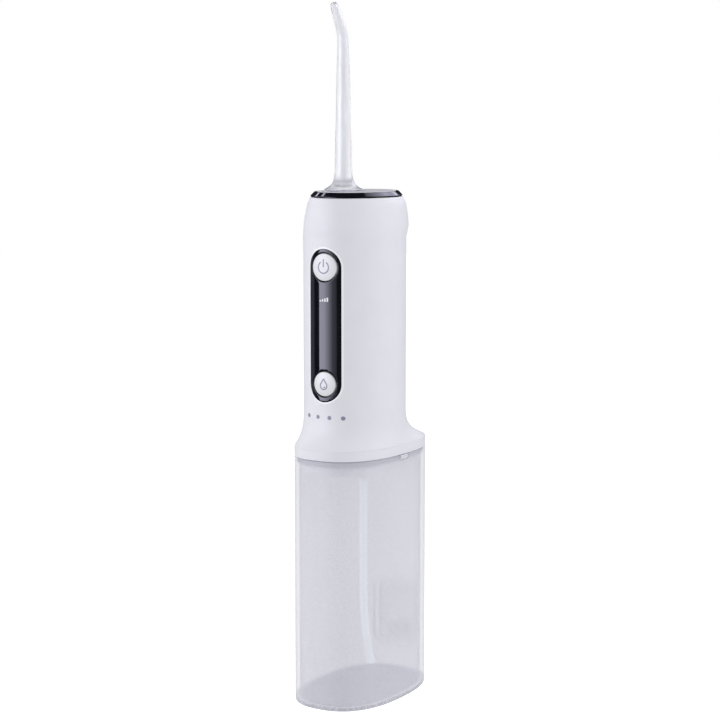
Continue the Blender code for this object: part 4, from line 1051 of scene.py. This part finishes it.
def make_nozzle():
    low, high = NOZZLE_SEAL_Z - 0.75, NOZZLE_SEAL_Z + 0.75
    groove = ((PLUG_RADIUS, low), (GROOVE_RADIUS, low), (GROOVE_RADIUS, high), (PLUG_RADIUS, high))
    plug = [(NOZZLE_BORE, PLUG_LOW), (PLUG_RADIUS, PLUG_LOW), *groove, (PLUG_RADIUS, NOZZLE_FOOT)]
    plug += [(NOZZLE_FOOT_RADIUS, NOZZLE_FOOT), (NOZZLE_FOOT_RADIUS - 0.1, NOZZLE_FOOT + 0.35)]
    outer = [(0.0, z, radius) for radius, z in eased(plug, 0.15)]
    stem = smooth_route(NOZZLE_STATIONS, 0.8)
    forward, z, radius = stem[-1]
    outer += [tuple(station) for station in stem[:-1]]
    # The tip is rounded over the last of its length.
    outer += [(forward - 0.08, z - 0.12, radius), (forward, z, radius - 0.12)]
    outer.append((forward + 0.02, z + 0.03, radius - 0.3))
    inner = [(forward, z, bore_radius(z)) for forward, z, _ in reversed(stem)]
    inner.append((0.0, PLUG_LOW, NOZZLE_BORE))
    form = loft([*bent_rings(outer), *bent_rings(inner)], looped=True)
    piece("jet", form, "milky_nozzle", "nozzle", "jet_nozzle")

    wide, low = PLUG_RADIUS + 0.35, PLUG_LOW - 0.6
    seat = [(SEAT_RADIUS, SEAT_HIGH), (SEAT_RADIUS, SEAT_LOW), (SPIGOT_RADIUS, SEAT_LOW)]
    seat += [(SPIGOT_RADIUS, SPIGOT_LOW), (1.2, SPIGOT_LOW), (1.2, low), (wide, low), (wide, SEAT_HIGH)]
    seat = eased(seat, 0.25, closed=True)
    form = turned(seat, (0, NOZZLE_Y, 0), looped=True)
    piece("seat_collar", form, "white_deck", "nozzle_seat", "nozzle_seat")
    middle, half = NOZZLE_SEAL
    ring = circle(half, middle, NOZZLE_SEAL_Z, 16)
    form = turned(ring, (0, NOZZLE_Y, 0), looped=True)
    piece("plug_seal", form, "dark_rubber", "nozzle", "nozzle_seal")


# Rear pieces


def make_rear():
    def surface(x, z, depth):
        return on_grip(x, z, depth, 1)

    form = rear_sheet(RELEASE_HALF, RELEASE_LOW, RELEASE_HIGH, RELEASE_CORNER, surface, 0.4, 2.4)
    for z in RELEASE_RIDGES:
        ridge = [[surface(x, z + up, depth - 0.15) for x in span(-3.2, 3.2, 9)] for depth, up in RIDGE]
        add_strip(form, ridge)
    piece("release_key", form, "white_shell", "release", "release_button")

    form = rear_sheet(COVER_HALF, COVER_LOW, COVER_HIGH, COVER_CORNER, surface, 0.35, 1.5)
    z = COVER_RIDGE
    add_strip(form, [[surface(x, z + up, depth - 0.12) for x in span(-2.5, 2.5, 7)] for depth, up in RIDGE])
    piece("charge_flap", form, "white_shell", "charge_cover", "charge_cover")

    shell = prism(round_box(4.5, SOCKET_Z - 1.6, SOCKET_Z + 1.6, 1.55), 8.4, 15.4)
    form = combined(shell, prism(round_box(4.15, SOCKET_Z - 1.25, SOCKET_Z + 1.25, 1.2), 9.0, 17.0))
    tongue = block((-3.2, 8.8, SOCKET_Z - 0.3), (3.2, 14.4, SOCKET_Z + 0.3), 0.1)
    piece("socket_shell", form, "steel", "handle", "charge_socket")
    piece("socket_tongue", tongue, "dark_rubber", "handle")


def dress_inner_parts():
    """The CAD parts that stay as they are take the look of their slot."""
    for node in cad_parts.values():
        slot = node.data.materials[0].name.split(".")[0]
        node.data.materials.clear()
        node.data.materials.append(LOOKS[slot])


# Studio


def emitter(name, stops):
    """A card's glow: light alone, whose strength changes from its first edge to its last one."""
    made = bpy.data.materials.new(name)
    made.use_nodes = True
    tree = made.node_tree
    tree.nodes.remove(tree.nodes["Principled BSDF"])
    glow = tree.nodes.new("ShaderNodeEmission")
    place = tree.nodes.new("ShaderNodeTexCoord")
    parts = tree.nodes.new("ShaderNodeSeparateXYZ")
    tree.links.new(place.outputs["UV"], parts.inputs[0])
    most = max(strength for _, strength in stops)
    shares = [(at, tuple(strength / most * channel for channel in CARD_TINT)) for at, strength in stops]
    tree.links.new(ramp(tree, parts.outputs["X"], shares), glow.inputs["Color"])
    glow.inputs["Strength"].default_value = most
    tree.links.new(glow.outputs[0], tree.nodes["Material Output"].inputs["Surface"])
    return made


CARD_TINT = (0.93, 0.93, 1.15)
# Cards of light that only reflections show, as (azimuth, strength). The band crosses the panel: a dim
# strip, a dark gap, a sharp bright edge and an even fade. The other two cross the trim ring.
BAND = ((-84, 0.4), (-66, 0.4), (-64, 0.0), (-47, 0.0), (-46, 5.8), (-30, 5.6), (-6, 0.9), (4, 0.5), (7, 0.0))
STREAKS = ((-115, 0.0), (-114, 4.5), (-111, 4.5), (-110, 0.0), (-98, 0.0), (-97, 5.0), (-93, 5.0), (-92, 0.0))
SWEEP = ((140, 0.9), (168, 3.6), (176, 2.0), (186, 3.2))


def card(name, reach, heights, strengths):
    """A curved card that only reflections show, between two heights."""
    low, high = heights
    first, last = strengths[0][0], strengths[-1][0]
    start, end = math.radians(first), math.radians(last)
    stops = [((azimuth - first) / (last - first), strength) for azimuth, strength in strengths]
    steps = 24
    form = bmesh.new()
    columns = []
    for step in range(steps + 1):
        turn = start + (end - start) * step / steps
        x, y = reach * math.sin(turn), -reach * math.cos(turn)
        columns.append([form.verts.new(Vector((x, y, z)) * MM) for z in (low, high)])
    sheet_map = form.loops.layers.uv.new("across")
    for here, (left, right) in enumerate(zip(columns, columns[1:])):
        face = form.faces.new((left[0], right[0], right[1], left[1]))
        for corner, share in zip(face.loops, (here, here + 1, here + 1, here)):
            corner[sheet_map].uv = (share / steps, 0.5)
    mesh = bpy.data.meshes.new(name)
    form.to_mesh(mesh)
    form.free()
    made = placed(name, mesh)
    mesh.materials.append(emitter(name, stops))
    made.visible_camera = made.visible_shadow = False
    made.visible_transmission = made.visible_diffuse = False


def softbox(name, azimuth, elevation, reach, size, power):
    lamp = bpy.data.lights.new(name, "AREA")
    lamp.shape = "RECTANGLE"
    lamp.size, lamp.size_y = (side * MM for side in size)
    lamp.energy = power
    made = placed(name, lamp)
    turn, rise = math.radians(azimuth), math.radians(elevation)
    away = Vector((math.sin(turn) * math.cos(rise), -math.cos(turn) * math.cos(rise), math.sin(rise)))
    made.location = (away * reach + Vector((0, 0, LAMP_AIM))) * MM
    made.rotation_euler = away.to_track_quat("Z", "Y").to_euler()
    made.visible_camera = False
    return made


def make_studio():
    floor_form = loft([level(circle(2500, 0, 0, 96), z) for z in (-2.0, -0.05)])
    floor = link("floor", floor_form)
    look, tree, shader, vector = shader_tree("floor_white")
    tint = ramp(tree, noise(tree, vector, 0.004, 2.0), ((0.3, (0.3, 0.3, 0.3)), (0.7, (0.32, 0.32, 0.32))))
    tree.links.new(tint, shader.inputs["Base Color"])
    dial(shader, {"Roughness": 0.9, "Emission Color": (1, 1, 1, 1), "Emission Strength": 0.95})
    floor.data.materials.append(look)
    floor.visible_glossy = floor.visible_diffuse = False

    world = bpy.data.worlds.new("studio")
    world.use_nodes = True
    tree = world.node_tree
    path = tree.nodes.new("ShaderNodeLightPath")
    seen = tree.nodes.new("ShaderNodeMath")
    seen.operation = "MAXIMUM"
    tree.links.new(path.outputs["Is Camera Ray"], seen.inputs[0])
    tree.links.new(path.outputs["Is Transmission Ray"], seen.inputs[1])
    strength = tree.nodes.new("ShaderNodeMix")
    strength.inputs[3].default_value = 1.0
    tree.links.new(seen.outputs[0], strength.inputs[0])
    tree.links.new(spread(tree, path.outputs["Is Glossy Ray"], 0.82, 0.03, 0.0, 1.0), strength.inputs[2])
    tree.links.new(strength.outputs[0], tree.nodes["Background"].inputs["Strength"])
    tree.nodes["Background"].inputs["Color"].default_value = (1, 1, 1, 1)
    bpy.context.scene.world = world

    card("band", 700, (1, 420), BAND)
    card("streaks", 700, (450, 1400), STREAKS)
    card("sweep", 700, (350, 1600), SWEEP)
    softbox("key_left", -70, 12, 1100, (900, 900), 3.9)
    softbox("key_right", 118, 14, 1100, (600, 800), 2.2)
    softbox("overhead", 100, 75, 1000, (500, 500), 0.5).visible_glossy = False
    softbox("rear", 200, 35, 1200, (800, 600), 0.15)
    bpy.context.scene.view_settings.view_transform = "Standard"


make_camera()
make_hose()
make_tank()
make_filler_cap()
make_shell()
make_top()
make_panel()
make_buttons()
make_base()
make_nozzle()
make_rear()
dress_inner_parts()
make_studio()
